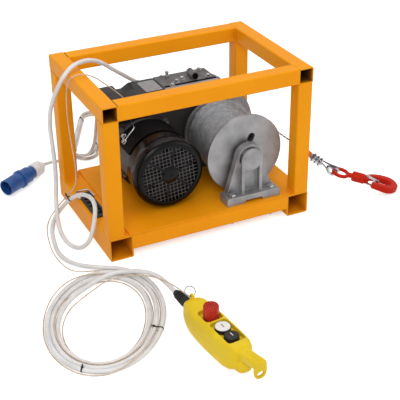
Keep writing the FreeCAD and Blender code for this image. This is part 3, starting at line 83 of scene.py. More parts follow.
def add(tree, kind, inputs=None, **settings):
    """One shader node, its inputs set to values or linked to other nodes' outputs."""
    node = tree.nodes.new("ShaderNode" + kind)
    for name, value in settings.items():
        setattr(node, name, value)
    for socket, value in (inputs or {}).items():
        if isinstance(value, bpy.types.NodeSocket):
            tree.links.new(value, node.inputs[socket])
        else:
            node.inputs[socket].default_value = value
    return node


def blend_towards(tree, coat, share, colour):
    """Takes a finish's colour towards another one, by the share that a node gives."""
    inputs = {0: share, 6: coat["tint"], 7: linear(colour)}
    coat["tint"] = add(tree, "Mix", inputs, data_type="RGBA").outputs[2]
    tree.links.new(coat["tint"], coat["shader"].inputs["Base Color"])


def new_finish(name, tones, cloud_mm, grain_mm, grain_deep, roughness, edge_mm=0.0, worn=None, shine=0.5,
               **sockets):
    """A finish whose colour and gloss drift between two ends in clouds of a width in millimetres, over a grain
    of a width and depth. Sharp edges are eased, and worn by a share to another colour. Gives the material,
    its tree and the parts that a section may add to."""
    made = bpy.data.materials.new(name)
    made.use_nodes = True
    tree = made.node_tree
    shader = tree.nodes["Principled BSDF"]
    shader.inputs["Specular IOR Level"].default_value = shine
    for socket, value in sockets.items():
        shader.inputs[socket.replace("_", " ")].default_value = value
    place = add(tree, "TexCoord").outputs["Object"]
    noise = add(tree, "TexNoise", {"Vector": place, "Scale": 1000 / cloud_mm, "Detail": 5.0}).outputs[0]
    cloud = add(tree, "MapRange", {"Value": noise, 1: 0.28, 2: 0.72}).outputs[0]
    dull = add(tree, "MapRange", {"Value": cloud, 3: roughness[0], 4: roughness[1]}).outputs[0]
    tree.links.new(dull, shader.inputs["Roughness"])
    grain = add(tree, "TexNoise", {"Vector": place, "Scale": 1000 / grain_mm, "Detail": 2.0}).outputs[0]
    skin = add(tree, "Bump", {"Height": grain, "Strength": 1.0, "Distance": grain_deep / 1000})
    tree.links.new(skin.outputs[0], shader.inputs["Normal"])
    coat = {"shader": shader, "place": place, "skin": skin.outputs[0], "tint": linear(tones[0])}
    blend_towards(tree, coat, cloud, tones[1])
    if edge_mm:
        eased = add(tree, "Bevel", {"Radius": edge_mm / 1000}, samples=4).outputs["Normal"]
        tree.links.new(eased, skin.inputs["Normal"])
    if worn:
        flat = add(tree, "NewGeometry").outputs["Normal"]
        bend = add(tree, "VectorMath", {0: eased, 1: flat}, operation="DOT_PRODUCT").outputs["Value"]
        rubbed = add(tree, "MapRange", {"Value": bend, 1: 0.99, 2: 0.78, 4: worn[0]}).outputs[0]
        blend_towards(tree, coat, rubbed, worn[1])
    return made, tree, coat


def hollow(tree, reach, open_at, shut_at, most):
    """How deep in a hollow of its own piece a point lies, up to most; reach is in metres."""
    air = add(tree, "AmbientOcclusion", {"Distance": reach}, samples=8, only_local=True).outputs["AO"]
    return add(tree, "MapRange", {"Value": air, 1: open_at, 2: shut_at, 4: most}).outputs[0]


def cover(material, *nodes):
    for node in nodes:
        for held in frame["nodes"][node].material_slots:
            held.material = material


# Polyester powder coat, baked: an even satin film with an orange peel 2.5 mm
# from crest to crest, thinner and yellower over the tube edges, and painted
# shade, dark brown, deep inside the tubes.
orange_coat, tree, coat = new_finish(
    "orange_powder_coat", ("#F29608", "#F6A112"), 140, 2.5, 0.04, (0.4, 0.54), 2.2, (0.5, "#F8AE30"),
    shine=0.1)
# painted shade: the coat turns dark brown the more enclosed a point is, deep inside the tubes
blend_towards(tree, coat, hollow(tree, 0.055, 0.66, 0.22, 0.92), "#1F1916")
cover(orange_coat, "base_tube_left", "base_tube_right", "lower_cross_tubes", "corner_posts", "top_rails",
      "deck_plate")

# Weld beads in the inner corners of the cage: a 5 mm MIG bead whose ripples
# are about 3 mm apart, under the same powder.
bead_size, ripple = 0.0026, 0.003
post_x, post_y = 235, 147.5
beads = bmesh.new()


def band(body, low, high):
    """Faces between two rings of vertices, either of which may be one point."""
    for j in range(max(len(low), len(high))):
        corners = [ring[k % len(ring)] for ring, k in ((low, j - 1), (low, j), (high, j), (high, j - 1))]
        body.faces.new(list(dict.fromkeys(corners)))


def skin_over(body, rings):
    """Faces over a row of rings, capped at both ends."""
    body.faces.new(rings[0])
    for low, high in zip(rings, rings[1:]):
        band(body, low, high)
    body.faces.new(rings[-1][::-1])


def angles(count, start=0.0):
    return [2 * pi * (j + start) / count for j in range(count)]


def lay_bead(start, end):
    start, end = Vector(start) / 1000, Vector(end) / 1000
    run = end - start
    turn = run.to_track_quat("Z", "Y").to_matrix()
    steps = int(run.length / (ripple / 4))
    rings = []
    for i in range(steps + 1):
        along = i / steps
        taper = min(1.0, 0.35 + 12 * min(along, 1 - along))
        size = bead_size * taper * (0.86 + 0.14 * cos(2 * pi * along * run.length / ripple))
        rings.append([
            beads.verts.new(start + run * along + turn @ Vector((size * cos(a), size * sin(a), 0)))
            for a in angles(8)
        ])
    skin_over(beads, rings)


for sx in (-1, 1):
    for sy in (-1, 1):
        for level in (60, 365):
            lay_bead((post_x * sx, 149 * sy, level), (post_x * sx, 186 * sy, level))
            lay_bead((236 * sx, post_y * sy, level), (274 * sx, post_y * sy, level))
        lay_bead((post_x * sx, post_y * sy, 367), (post_x * sx, post_y * sy, 403))


def put(name, data):
    piece = bpy.data.objects.new(name, data)
    bpy.context.scene.collection.objects.link(piece)
    return piece


def made_of(mesh, name, slot, *finishes, body="winch"):
    """A bmesh as a named piece, creased at its sharp edges. With a slot, it rides on a body."""
    data = bpy.data.meshes.new(name)
    bmesh.ops.recalc_face_normals(mesh, faces=mesh.faces)
    for face in mesh.faces:
        face.smooth = True
    for edge in mesh.edges:
        edge.smooth = len(edge.link_faces) != 2 or edge.calc_face_angle() < 0.7
    mesh.to_mesh(data)
    mesh.free()
    for finish in finishes:
        data.materials.append(finish)
    piece = put(name, data)
    if slot:
        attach(piece, body)
    return piece


made_of(beads, "weld_beads", "orange_paint", orange_coat)

# ------ motor
# Single-phase induction motor: rolled and cast body under dark grey machine
# enamel, a deep-drawn fan cowl in black, and a capacitor box bent to its top.

# Machine enamel over a casting: dark, half gloss, with the sand's grain left
# as a soft unevenness 4 mm wide.
grey_enamel = new_finish(
    "dark_grey_machine_enamel", ("#3F3E40", "#504F51"), 45, 4, 0.1, (0.4, 0.55), 1.2, shine=0.3)[0]
cover(grey_enamel, "motor_housing", "motor_end_shields")

# Deep-drawn sheet, stove enamelled: near black with a clear gloss and soft waves,
# about 22 mm long, from the drawing.
black_enamel = new_finish(
    "black_stove_enamel", ("#070606", "#0D0C0C"), 18, 22, 0.12, (0.16, 0.24), 0.6, shine=0.14)[0]


def upright_at(x, y, z):
    return Matrix.Translation(Vector((x, y, z)) / 1000)


def spun(degrees, axis):
    return Matrix.Rotation(radians(degrees), 4, axis)


def turned(body, profile, place, segments, ribs=None):
    """Turns (radius, height) points in millimetres about a placing matrix's z axis, closed where they
    start and end alike, and grooved by ribs (count, depth, lowest, highest)."""
    rings = []
    for r, z in profile:
        if not r:
            rings.append([body.verts.new(place @ Vector((0, 0, z / 1000)))])
            continue
        grooved = ribs and ribs[2] <= z <= ribs[3]
        ring = []
        for a in angles(segments):
            reach = r - ribs[1] * (0.5 + 0.5 * cos(ribs[0] * a)) if grooved else r
            ring.append(body.verts.new(place @ (Vector((reach * cos(a), reach * sin(a), z)) / 1000)))
        rings.append(ring)
    if profile[0] == profile[-1]:
        bmesh.ops.delete(body, geom=rings[-1], context="VERTS")
        rings[-1] = rings[0]
    for low, high in zip(rings, rings[1:]):
        band(body, low, high)


def turned_piece(name, slot, finish, profile, place, segments, ribs=None, body="winch"):
    mesh = bmesh.new()
    turned(mesh, profile, place, segments, ribs)
    return made_of(mesh, name, slot, finish, body=body)


def cowl_shoulder(r):
    """The cowl's rounded front edge."""
    return [(75.2 + r * cos(radians(a)), 105 + r * sin(radians(a))) for a in range(0, 91, 9)]


motor_axis = Vector((-83.01, 0, 162.05))
cowl_place = upright_at(*motor_axis) @ spun(90, "X")
fan_cowl = turned_piece(
    "fan_cowl_shell", "black_sheet", black_enamel,
    [(87, 58), (89, 58), (89, 78), (90, 86), (92.2, 96)] + cowl_shoulder(18)
    + [(73.8, 122.6), (73.2, 121), (73.2, 118)] + cowl_shoulder(16)[::-1]
    + [(90.2, 96), (88, 86), (87, 78), (87, 58)], cowl_place, 128)
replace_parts(fan_cowl, "fan_cowl")

# Grille of the cowl: 1.8 mm bars crossing at 9.6 mm, six stout ribs over them
# and a plain boss in the middle.
bar_pitch, bar_wide, bar_thick, grille_r = 9.6, 1.8, 1.6, 74.2


def block(body, size, place):
    """A box of a size in millimetres about a placing matrix's origin."""
    scale = Matrix.Diagonal((*[s / 1000 for s in size], 1))
    return bmesh.ops.create_cube(body, size=1.0, matrix=place @ scale)["verts"]


def grille_bar(body, degrees, offset, inner, outer, wide, low, thick):
    """A straight bar of the grille, turned about its middle, from inner to outer along its length."""
    middle = upright_at((inner + outer) / 2, offset, low + thick / 2)
    block(body, (outer - inner, wide, thick), cowl_place @ spun(degrees, "Z") @ middle)


grille = bmesh.new()
for i in range(-8, 8):
    offset = (i + 0.5) * bar_pitch
    if abs(offset) < grille_r - bar_pitch / 2:
        reach = sqrt(grille_r**2 - offset**2)
        for degrees, low in ((6, 118.2), (96, 118.6)):
            grille_bar(grille, degrees, offset, -reach, reach, bar_wide, low, bar_thick)
made_of(grille, "cowl_grille", "black_sheet", grey_enamel)
stout = bmesh.new()
for i in range(6):
    grille_bar(stout, 60 * i + 20, 0.0, 18, 74, 4.4, 118.4, 2.4)
turned(stout, [(0, 117.8), (22.5, 117.8), (22.5, 120.8), (21.5, 121.6), (4, 122), (3.4, 120.6), (0, 120.6)],
       cowl_place, 64)
made_of(stout, "cowl_ribs", "black_sheet", black_enamel)

# Moulded ABS: black, with the spark-eroded texture of its mould (about 0.6 mm,
# drawn at 1.4 mm).
black_abs = new_finish(
    "moulded_black_abs", ("#0D0C0C", "#1A1919"), 33, 1.4, 0.04, (0.42, 0.54), 0.8, IOR=1.53, shine=0.3)[0]
cover(black_abs, "cooling_fan", "contact_blocks", "control_box", "control_box_lid", "panel_connector")

# Rolled sheet under black wrinkle paint: very dark and dull, the wrinkles about
# 1.5 mm apart.
wrinkle_paint = new_finish(
    "black_wrinkle_paint", ("#050404", "#0A0909"), 30, 1.5, 0.1, (0.5, 0.62), 1, shine=0.06)[0]
cover(wrinkle_paint, "capacitor_box", "oil_filler_plug")

# Electrical sheet, stamped and stacked: dull blue-grey, ruled across by the
# edges of its sheets (0.5 mm, drawn at 1.5 mm).
core_sheet, tree, coat = new_finish(
    "stacked_core_sheet", ("#5C5E62", "#74767A"), 20, 1.5, 0.02, (0.45, 0.55), Metallic=0.9)
edges = {"Vector": coat["place"], "Scale": 105.0, "Distortion": 0.0}
blend_towards(tree, coat, add(tree, "TexWave", edges, bands_direction="Y").outputs[1], "#8C8E92")
cover(core_sheet, "stator_core", "rotor_core", "brake_magnet", "brake_disc")

# ------ gearbox and pedestal
# Two sand-cast halves bolted together round the gears, the front one painted
# grey, and a ribbed pedestal from the same foundry that carries the free end of
# the drum.

# Sand-cast aluminium, shot blasted: matt grey with the grit of the mould (about
# 1 mm, drawn at 2 mm), a darker bloom in patches and edges rubbed bright.
cover(new_finish(
    "sand_cast_aluminium", ("#7C7C7E", "#A4A4A6"), 34, 2, 0.16, (0.48, 0.6), 2, (0.6, "#C9C9CA"),
    Metallic=0.6)[0], "bearing_pedestal")

# The same casting dulled by oil and dust: darker, its grit filled.
cover(new_finish(
    "oil_dulled_cast_aluminium", ("#59595B", "#7E7E80"), 22, 2, 0.12, (0.5, 0.62), 2,
    Metallic=0.5, shine=0.3)[0], "gearbox_cover")

# Mid-grey casting paint, with painted shade on the front of the casting between
# the motor and the drum: darker towards the motor and below the lid.
casting_paint, tree, coat = new_finish(
    "grey_casting_paint", ("#8A898D", "#9E9DA1"), 40, 3, 0.08, (0.42, 0.56), 1.2, shine=0.3)
spot = add(tree, "SeparateXYZ", {0: coat["place"]}).outputs
shade_towards_motor = add(tree, "MapRange", {"Value": spot["X"], 1: 0.19, 2: 0.08}).outputs[0]
shade_below_lid = add(tree, "MapRange", {"Value": spot["Z"], 1: 0.28, 2: 0.255}).outputs[0]
# painted shade: dark grey towards the motor and below the lid
blend_towards(tree, coat, add(tree, "Math", {0: shade_towards_motor, 1: shade_below_lid}, operation="MINIMUM").outputs[0], "#343334")
cover(casting_paint, "gearbox_housing")

# Zinc-plated steel: bright, a little uneven, with a faint blue passivation.
zinc_steel = new_finish(
    "zinc_plated_steel", ("#A2A5A9", "#C9CACB"), 11, 1.2, 0.01, (0.24, 0.4), 0.5, Metallic=1)[0]
cover(zinc_steel, "machine_bolts", "rope_clips", "rope_thimble", "hook_latch", "latch_pin", "estop_stem")


def hex_screw(body, place, across=10, height=6.8):
    """A hexagon head, chamfered on top, on its washer."""
    washer, r = across * 0.72, across / sqrt(3)
    turned(body, [(0, 0), (washer, 0), (washer, 1), (0, 1)], place, 24)
    turned(body, [(0, 1), (r, 1), (r, height - 0.6), (r * 0.86, height), (0, height)], place, 6)


# Hexagon screws of 10 mm across flats that close the gearbox from above, an eye
# pin at its rear edge, and the black sealing strip along the joint.
gearbox_top = 299.9
screws = bmesh.new()
for x, y in ((42, 109.2), (20.9, 89.2), (127.6, 156.5), (132.4, 106.7), (62.1, 119.5)):
    hex_screw(screws, upright_at(x, y, gearbox_top))
eye_pin = [(0, 0), (6, 0), (6, 4), (3.6, 4.8), (3.6, 10), (5.2, 10.8), (5.6, 13.5), (4.4, 15.6), (0, 16.4)]
turned(screws, eye_pin, upright_at(33, 153.6, gearbox_top), 24)
seal = bmesh.new()
block(seal, (149, 10, 0.8), upright_at(73.5, 90.2, gearbox_top + 0.3))
bmesh.ops.bevel(seal, geom=seal.edges[:], offset=0.0002, segments=1, affect="EDGES")
made_of(seal, "gearbox_joint_seal", "black_plastic", wrinkle_paint)
made_of(screws, "gearbox_top_screws", "bright_steel", zinc_steel)

# Zinc-plated clip that holds the motor leads down beside the capacitor box, with
# two of the same screws.
clip_r = 0.0017
clip_at = [(111, 48), (112.5, 34), (114.5, 20), (116, 9.5), (121, 4.5), (129, 1.5), (137, -1), (142.6, -0.9)]


def off_motor(reach, degrees, y):
    """A point in millimetres out from the motor's axis, degrees round it and y along it."""
    return motor_axis + Vector((reach * cos(radians(degrees)), y, reach * sin(radians(degrees))))


def round_bar(r, sides):
    return [(r * cos(a), r * sin(a)) for a in angles(sides)]


def way_at(path, i):
    return (path[min(i + 1, len(path) - 1)] - path[max(i - 1, 0)]).normalized()


def run_along(body, path, section, lay=None):
    """Carries a closed section along a path in metres, twisting it once in each lay length."""
    along, side, rings = 0.0, None, []
    for i, spot in enumerate(path):
        way = way_at(path, i)
        if side is None:
            side = way.orthogonal().normalized()
        else:
            along += (spot - path[i - 1]).length
            side = (side - way * side.dot(way)).normalized()
        across = way.cross(side)
        twist = 2 * pi * along / lay if lay else 0.0
        c, s = cos(twist), sin(twist)
        rings.append([
            body.verts.new(spot + side * (u * c - v * s) + across * (u * s + v * c)) for u, v in section
        ])
    skin_over(body, rings)


clip = bmesh.new()
for degrees, y in ((137, 15.9), (142.6, -0.9)):
    hex_screw(clip, upright_at(*off_motor(88.8, degrees, y)) @ spun(90 - degrees, "Y"))
run_along(clip, [off_motor(90.2, degrees, y) / 1000 for degrees, y in clip_at], round_bar(clip_r, 10))
made_of(clip, "motor_lead_clip", "bright_steel", zinc_steel)

# ------ gear train
# Hobbed steel gears pressed on ground shafts, running in ball bearings and wet
# with oil. The tool marks of the hob are about 1 mm apart.
cover(new_finish(
    "hobbed_oiled_steel", ("#8C8A86", "#B2B0AC"), 17, 1, 0.02, (0.22, 0.34), Metallic=1, Coat_Weight=0.4,
    Coat_Roughness=0.08)[0],
    "motor_shaft", "countershaft", "counter_gear", "drum_gear", "drum_shaft", "shaft_bearings")

# ------ drum
# Cast-iron rope drum, turned on its flanges, full of 5 mm wire rope. The last
# four turns are laid wider, beside the front flange, and one rides over them.
drum_axis = (0.122, 0.177)

# Turned iron: grey, with the lathe's rings (0.4 mm feed, drawn at 1.6 mm) round
# the drum's own axis, and painted shade, near black, inside the rope's anchor hole.
turned_iron, tree, coat = new_finish(
    "turned_cast_iron", ("#848486", "#A4A4A6"), 33, 1.6, 0.02, (0.4, 0.52), 1, Metallic=0.8)
from_axis = {"Vector": coat["place"], "Location": (-drum_axis[0], 0, -drum_axis[1])}
centred = add(tree, "Mapping", from_axis).outputs[0]
feed = add(tree, "TexWave", {"Vector": centred, "Scale": 98.0, "Distortion": 0.6, "Detail": 2.0},
           wave_type="RINGS", rings_direction="Y").outputs[1]
rings = add(tree, "Bump", {"Height": feed, "Strength": 0.12, "Distance": 0.0003, "Normal": coat["skin"]})
tree.links.new(rings.outputs[0], coat["shader"].inputs["Normal"])
# painted shade: near black the more enclosed a point of the drum is, as in the anchor hole
blend_towards(tree, coat, hollow(tree, 0.02, 0.58, 0.22, 0.96), "#0B0A0A")
cover(turned_iron, "drum")

# Drawn galvanised wire laid up in six strands: grey crowns, darker in the valleys
# with grease and painted shade, each turn on the drum a little lighter or darker
# than the next, and the last turns by the front flange strongly so, as painted
# highlight and shade.
rope_wire, tree, coat = new_finish(
    "galvanised_rope_wire", ("#8A8D91", "#B2B6BA"), 14, 0.9, 0.03, (0.46, 0.58), Metallic=0.7)
across_drum = add(tree, "SeparateXYZ", {0: coat["place"]}).outputs["Y"]
turns = {"W": across_drum, "Scale": 190.0, "Detail": 1.0}
each_turn = add(tree, "TexNoise", turns, noise_dimensions="1D").outputs[0]
# painted highlight and shade: the turns by the front flange differ much more in brightness than the rest
banded = add(tree, "MapRange", {"Value": across_drum, 1: -0.075, 2: -0.095, 3: 0.3, 4: 0.95}).outputs[0]
turn_tone_and_light = add(tree, "MapRange", {"Value": each_turn, 1: 0.38, 2: 0.62, 4: banded}).outputs[0]
blend_towards(tree, coat, turn_tone_and_light, "#5A5959")
# grease and painted shade: darker in the valleys between strands, the more enclosed the darker
blend_towards(tree, coat, hollow(tree, 0.003, 0.74, 0.28, 1.0), "#3A3A3B")
rope_size, rope_lay, strand_relief = 0.0025, 0.034, 0.38


def rope_section(size, strands):
    """The outline of a laid rope: as many round strands as it has, pressed together."""
    core, strand = size * 2 / 3, size / 3
    outline = []
    for s in range(strands):
        for off in (-pi / strands, -pi / strands / 3, pi / strands / 3):
            reach = core * cos(off) + sqrt(max(0.0, strand**2 - (core * sin(off)) ** 2))
            a = 2 * pi * s / strands + off
            packed = size + strand_relief * (reach - size)
            outline.append((packed * cos(a), packed * sin(a)))
    return outline


rope_leaves = Vector((0.18157, -0.1074, 0.24553))
leaves_at = atan2(rope_leaves.z - drum_axis[1], rope_leaves.x - drum_axis[0])
outer_reach = hypot(rope_leaves.z - drum_axis[1], rope_leaves.x - drum_axis[0])
layer_reach = 0.0855
steps_a_turn = 120
close_turns, wide_turns, over_turns = 23, 4, 1.25
close_pitch, wide_pitch = 0.00497, 0.0066
rope_begins, step_back, climb_over = 0.0272, 0.0061, 0.35
winding_path = []
total = int((close_turns + wide_turns + over_turns) * steps_a_turn)
for i in range(total + 1):
    turn = i / steps_a_turn
    over = max(0.0, turn - close_turns - wide_turns)
    climb = min(1.0, over / climb_over)
    reach = layer_reach + (outer_reach - layer_reach) * climb * climb * (3 - 2 * climb)
    deep = rope_begins - close_pitch * min(turn, close_turns) + step_back * over / over_turns
    deep -= wide_pitch * min(wide_turns, max(0.0, turn - close_turns))
    angle = leaves_at + 2 * pi * (total / steps_a_turn - turn)
    winding_path.append(Vector((drum_axis[0] + reach * cos(angle), deep, drum_axis[1] + reach * sin(angle))))
winding = bmesh.new()
run_along(winding, winding_path, rope_section(rope_size, 6), rope_lay)
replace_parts(made_of(winding, "drum_rope", "rope_steel", rope_wire, body="drum_set"), "rope_winding")

# The layers beneath show only as a ridged floor between the turns, coloured near
# black as painted shade.
under_layer_wire = new_finish(
    "shaded_under_layer_rope", ("#242322", "#3C3A38"), 9, 1, 0.03, (0.4, 0.52), Metallic=0.5)[0]
rear, wide, hub_r, ridges = -29.8, 145.6, 56, 180
turned_piece(
    "rope_under_layers", "rope_steel", under_layer_wire,
    [(hub_r, rear)] + [(83.4 + 0.8 * cos(2 * pi * i / 6), rear + i * wide / ridges) for i in range(ridges + 1)]
    + [(hub_r, rear + wide), (hub_r, rear)],
    Matrix.Translation((drum_axis[0], 0, drum_axis[1])) @ spun(90, "X"), 96, body="drum_set")

# ------ control box
# Contactor box of moulded black ABS with a screwed lid, on the pad of the
# gearbox casting. A bare aluminium plate is riveted to the lid, and the cables
# enter through grey nylon glands at the back.
plate_low, plate_high = Vector((-56.5, 79.5)), Vector((-10.0, 148.5))
lid_top, plate_thick, rivet_in = 300.05, 0.8, 5
plate = bmesh.new()
block(plate, (*(plate_high - plate_low), plate_thick),
      upright_at(*(plate_low + plate_high) / 2, lid_top + plate_thick / 2))
corners = [e for e in plate.edges if abs(e.verts[0].co.z - e.verts[1].co.z) > 0.0005]
bmesh.ops.bevel(plate, geom=corners, offset=0.003, segments=4, affect="EDGES")
for x in (plate_low.x + rivet_in, plate_high.x - rivet_in):
    for y in (plate_low.y + rivet_in, plate_high.y - rivet_in):
        turned(plate, [(0, 0), (2.2, 0), (2, 0.6), (1.2, 1.1), (0, 1.3)], upright_at(x, y, lid_top + 0.7), 16)
# Rolled sheet, brushed along its length: pale, with scratches 1 mm apart.
brushed_sheet = new_finish(
    "brushed_aluminium_sheet", ("#8A8A8C", "#A4A4A6"), 12, 1, 0.02, (0.38, 0.5), 0.3, Metallic=0.8)[0]
made_of(plate, "lid_plate", "bright_steel", brushed_sheet)

# Moulded nylon: light grey, waxy.
cover(new_finish(
    "moulded_grey_nylon", ("#B9B8B6", "#CFCECC"), 25, 1.3, 0.02, (0.36, 0.46), 0.6, IOR=1.53)[0],
    "cable_glands")

# ------ panel connector
# Rectangular multi-pole socket let into the top of the left base tube, with a
# locking bail of 4 mm zinc-plated wire hinged round its rear end.
bail_left, bail_right, hinge_y = -270.4, -232.6, 38
bail_at = [(bail_left, hinge_y), (bail_left, 60), (-270, 70), (-266, 75), (-258, 76), (-245, 76), (-237, 75),
           (-233, 70), (bail_right, 60), (bail_right, hinge_y)]
bail = bmesh.new()
run_along(bail, [Vector((x, y, 62.3)) / 1000 for x, y in bail_at], round_bar(0.002, 12))
for x, way in ((bail_left, 1), (bail_right, -1)):
    turned(bail, [(0, -2), (3.4, -2), (3.4, 2.4), (0, 2.4)],
           upright_at(x, hinge_y, 63.4) @ spun(90 * way, "Y"), 20)
made_of(bail, "connector_bail", "bright_steel", zinc_steel)

# ------ control cable
# White PVC cable, 11 mm, from the gland on the control box down to the floor,
# through a loop over the connector, three loose turns, and into the pendant.

# Extruded PVC, soft white: half matt, with a slow ripple from the die, about
# 8 mm, and grey smudges from handling.
white_pvc = new_finish(
    "extruded_white_pvc", ("#D6D4D2", "#EAE9E8"), 36, 8, 0.06, (0.36, 0.48), IOR=1.53,
    Subsurface_Weight=0.05, Subsurface_Radius=(0.004, 0.004, 0.004))[0]


def lay_cord(name, points, size, finish):
    """A smooth cord through a route in millimetres; its radius is in metres, 0 for a bare line."""
    line = bpy.data.curves.new(name, "CURVE")
    line.dimensions = "3D"
    run = line.splines.new("NURBS")
    run.points.add(len(points) - 1)
    for held, (x, y, z) in zip(run.points, points):
        held.co = (x / 1000, y / 1000, z / 1000, 1.0)
    run.order_u = 3
    run.use_endpoint_u = True
    line.resolution_u = 10
    line.bevel_depth = size
    line.bevel_resolution = 5
    line.use_fill_caps = True
    if finish:
        line.materials.append(finish)
    return put(name, line)


def line_of(points):
    """The points that a cord's smooth line runs through, in metres."""
    bare = lay_cord("bare_line", points, 0.0, None)
    drawn = bpy.data.meshes.new_from_object(bare)
    found = [v.co.copy() for v in drawn.vertices]
    bpy.data.meshes.remove(drawn)
    bpy.data.curves.remove(bare.data)
    return found


coil_way = Vector((0.435, 0.900, 0)).normalized()
coil_side = Vector((coil_way.y, -coil_way.x, 0))
coil_x, coil_y, coil_long, coil_wide = -367, -394, 196.5, 132.5


def coil_turns(lying, turns):
    """Points round the oval coil from (degrees clockwise, millimetres in from its edge, any height)."""
    found = []
    for degrees, inset, *height in turns:
        a = radians(degrees)
        spot = coil_way * ((coil_long - inset) * cos(a)) + coil_side * ((coil_wide - inset) * sin(a))
        found.append((coil_x + spot.x, coil_y + spot.y, *(height or [lying])))
    return found


def evenly(start, insets, step=26):
    return [(start + step * i, inset) for i, inset in enumerate(insets)]


control_route = [
    (-45.97, 178, 291), (-63, 175, 304), (-86, 165, 323), (-122, 144, 353), (-162, 118, 389), (-200, 91, 411),
    (-234, 63, 421), (-264, 40, 423), (-289, 29, 406), (-305, 34, 376), (-314, 50, 342), (-318, 70, 305),
    (-319, 82, 262), (-317, 83, 216), (-316, 78, 168), (-318, 73, 120), (-324, 66, 76), (-332, 46, 36),
    (-341, 8, 12), (-345, -40, 7), (-341, -80, 7), (-327, -110, 10), (-309, -125, 28), (-295, -125, 58),
    (-281, -108, 86), (-267, -74, 100), (-261, -28, 98), (-271, 20, 86), (-291, 53, 60), (-316, 65, 30),
    (-340, 50, 12), (-358, 14, 7), (-371, -38, 7), (-379, -92, 7), (-375, -136, 7), (-352, -176, 7),
    (-313, -205, 7),
] + coil_turns(6, [
    (12, 3, 6.5), *evenly(38, [1, 0, 0, 1, 0, 0, 1, 0, 0, 1, 5]), (322, 10), (344, 15),
    *evenly(368, [20, 19, 17, 17, 15, 13, 12, 12.5, 12, 12, 13, 18, 28]), (704, 36),
    *evenly(728, [40, 38, 35, 34, 30, 26, 24.5, 24.5, 24, 24, 26]), (1014, 36, 7), (1040, 50, 9),
    (1064, 52, 14), (1084, 43, 19),
]) + [
    (-262, -272, 22), (-238, -297, 29), (-219, -330, 34), (-211, -367, 36), (-207.41, -421.23, 36),
]
control_r = 0.0055
control_cable = lay_cord("control_cable", control_route, control_r, white_pvc)
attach(control_cable, "winch")
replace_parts(control_cable, "control_cable_upper", "control_cable_coil", "control_cable_lower")

# ------ strain wire
# Thin steel wire rope clipped alongside the control cable, so that a pull on
# the pendant never reaches the conductors.

# Stranded wire in a clear sheath that has yellowed: pale tan and half glossy.
sheathed_wire = new_finish(
    "sheathed_strain_wire", ("#B79C82", "#D9C6B2"), 22, 0.8, 0.02, (0.34, 0.46), Metallic=0.15,
    Coat_Weight=0.2)[0]
strain_route = [
    (-122.01, 54, 300.05), (-139.01, 46, 320.05), (-161.01, 37, 344.05), (-187, 24, 369), (-216, 9, 398),
    (-246, -2, 416), (-273, 2, 415), (-287, 14, 393), (-285, 33, 347), (-284, 42, 300), (-283, 37, 254),
    (-283, 23, 208), (-283, 9, 164), (-284, 12, 124), (-289, 36, 92), (-301, 64, 59), (-323, 76, 28),
    (-349, 64, 8), (-369, 24, 4), (-382, -34, 4), (-390, -92, 4), (-387, -142, 4), (-378, -180, 4),
    (-359, -206, 8),
] + coil_turns(2, [
    (-18, 5, 6), (8, 10, 4), (34, 10), (60, 8.5), (80, 9.5), (98, 10.5, 4), (114, 9.5, 13), (131, 4, 18.5),
    (148, -2, 16), (165, -7, 6), (184, -6.5), (204, -6.5), (226, -6), (246, -6), (264, -6, 3), (280, -5, 10),
    (296, 0, 17), (312, 8, 19), (330, 18, 14), (348, 26, 6), (366, 30), (390, 29), (416, 27), (440, 27),
    (456, 26.5, 6), (472, 23.5, 13.5), (492, 20, 12), (516, 18.3, 10.8), (542, 18.3, 10.8), (570, 18, 10.8),
    (598, 18, 10.8), (622, 19, 12), (642, 24, 11), (660, 32, 4), (680, 41), (702, 48),
    *evenly(724, [52, 50, 46, 43, 42, 38], 24), *evenly(870, [34, 33, 33, 33, 34, 43]), (1024, 60),
    (1048, 68, 4), (1070, 64, 10), (1090, 57, 17),
]) + [
    (-272, -291, 23), (-248, -312, 30), (-229, -342, 38), (-220, -382, 49), (-215, -424, 62),
    (-200.58, -485.87, 62),
]
strain_path = line_of(strain_route)
strain_r = 0.0015
wire = bmesh.new()
run_along(wire, strain_path, round_bar(strain_r, 10))
strain_wire = made_of(wire, "strain_wire", "strain_steel", sheathed_wire)
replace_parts(strain_wire, "strain_wire_upper", "strain_wire_lower")

# ------ cable ties
# Black nylon ties that hold the turns of the coil and the loop at the
# connector: a 3.6 mm strap pulled tight round what it holds, its head and the
# cropped end of its tail.
black_nylon = new_finish(
    "black_nylon_tie", ("#0E0D0E", "#1E1C1D"), 6, 1, 0.02, (0.34, 0.44), IOR=1.53, shine=0.35)[0]
control_path = line_of(control_route)
strap_half, strap_in, strap_out = 0.0018, -0.0003, 0.0005
head_size, tail_size = (4.4, 5.2, 3.4), (1.1, 3.4, 5)
leaning = Matrix(((1, 0, 0.48, 0.0012), (0, 1, 0, 0), (0, 0, 1, 0.0045), (0, 0, 0, 1)))


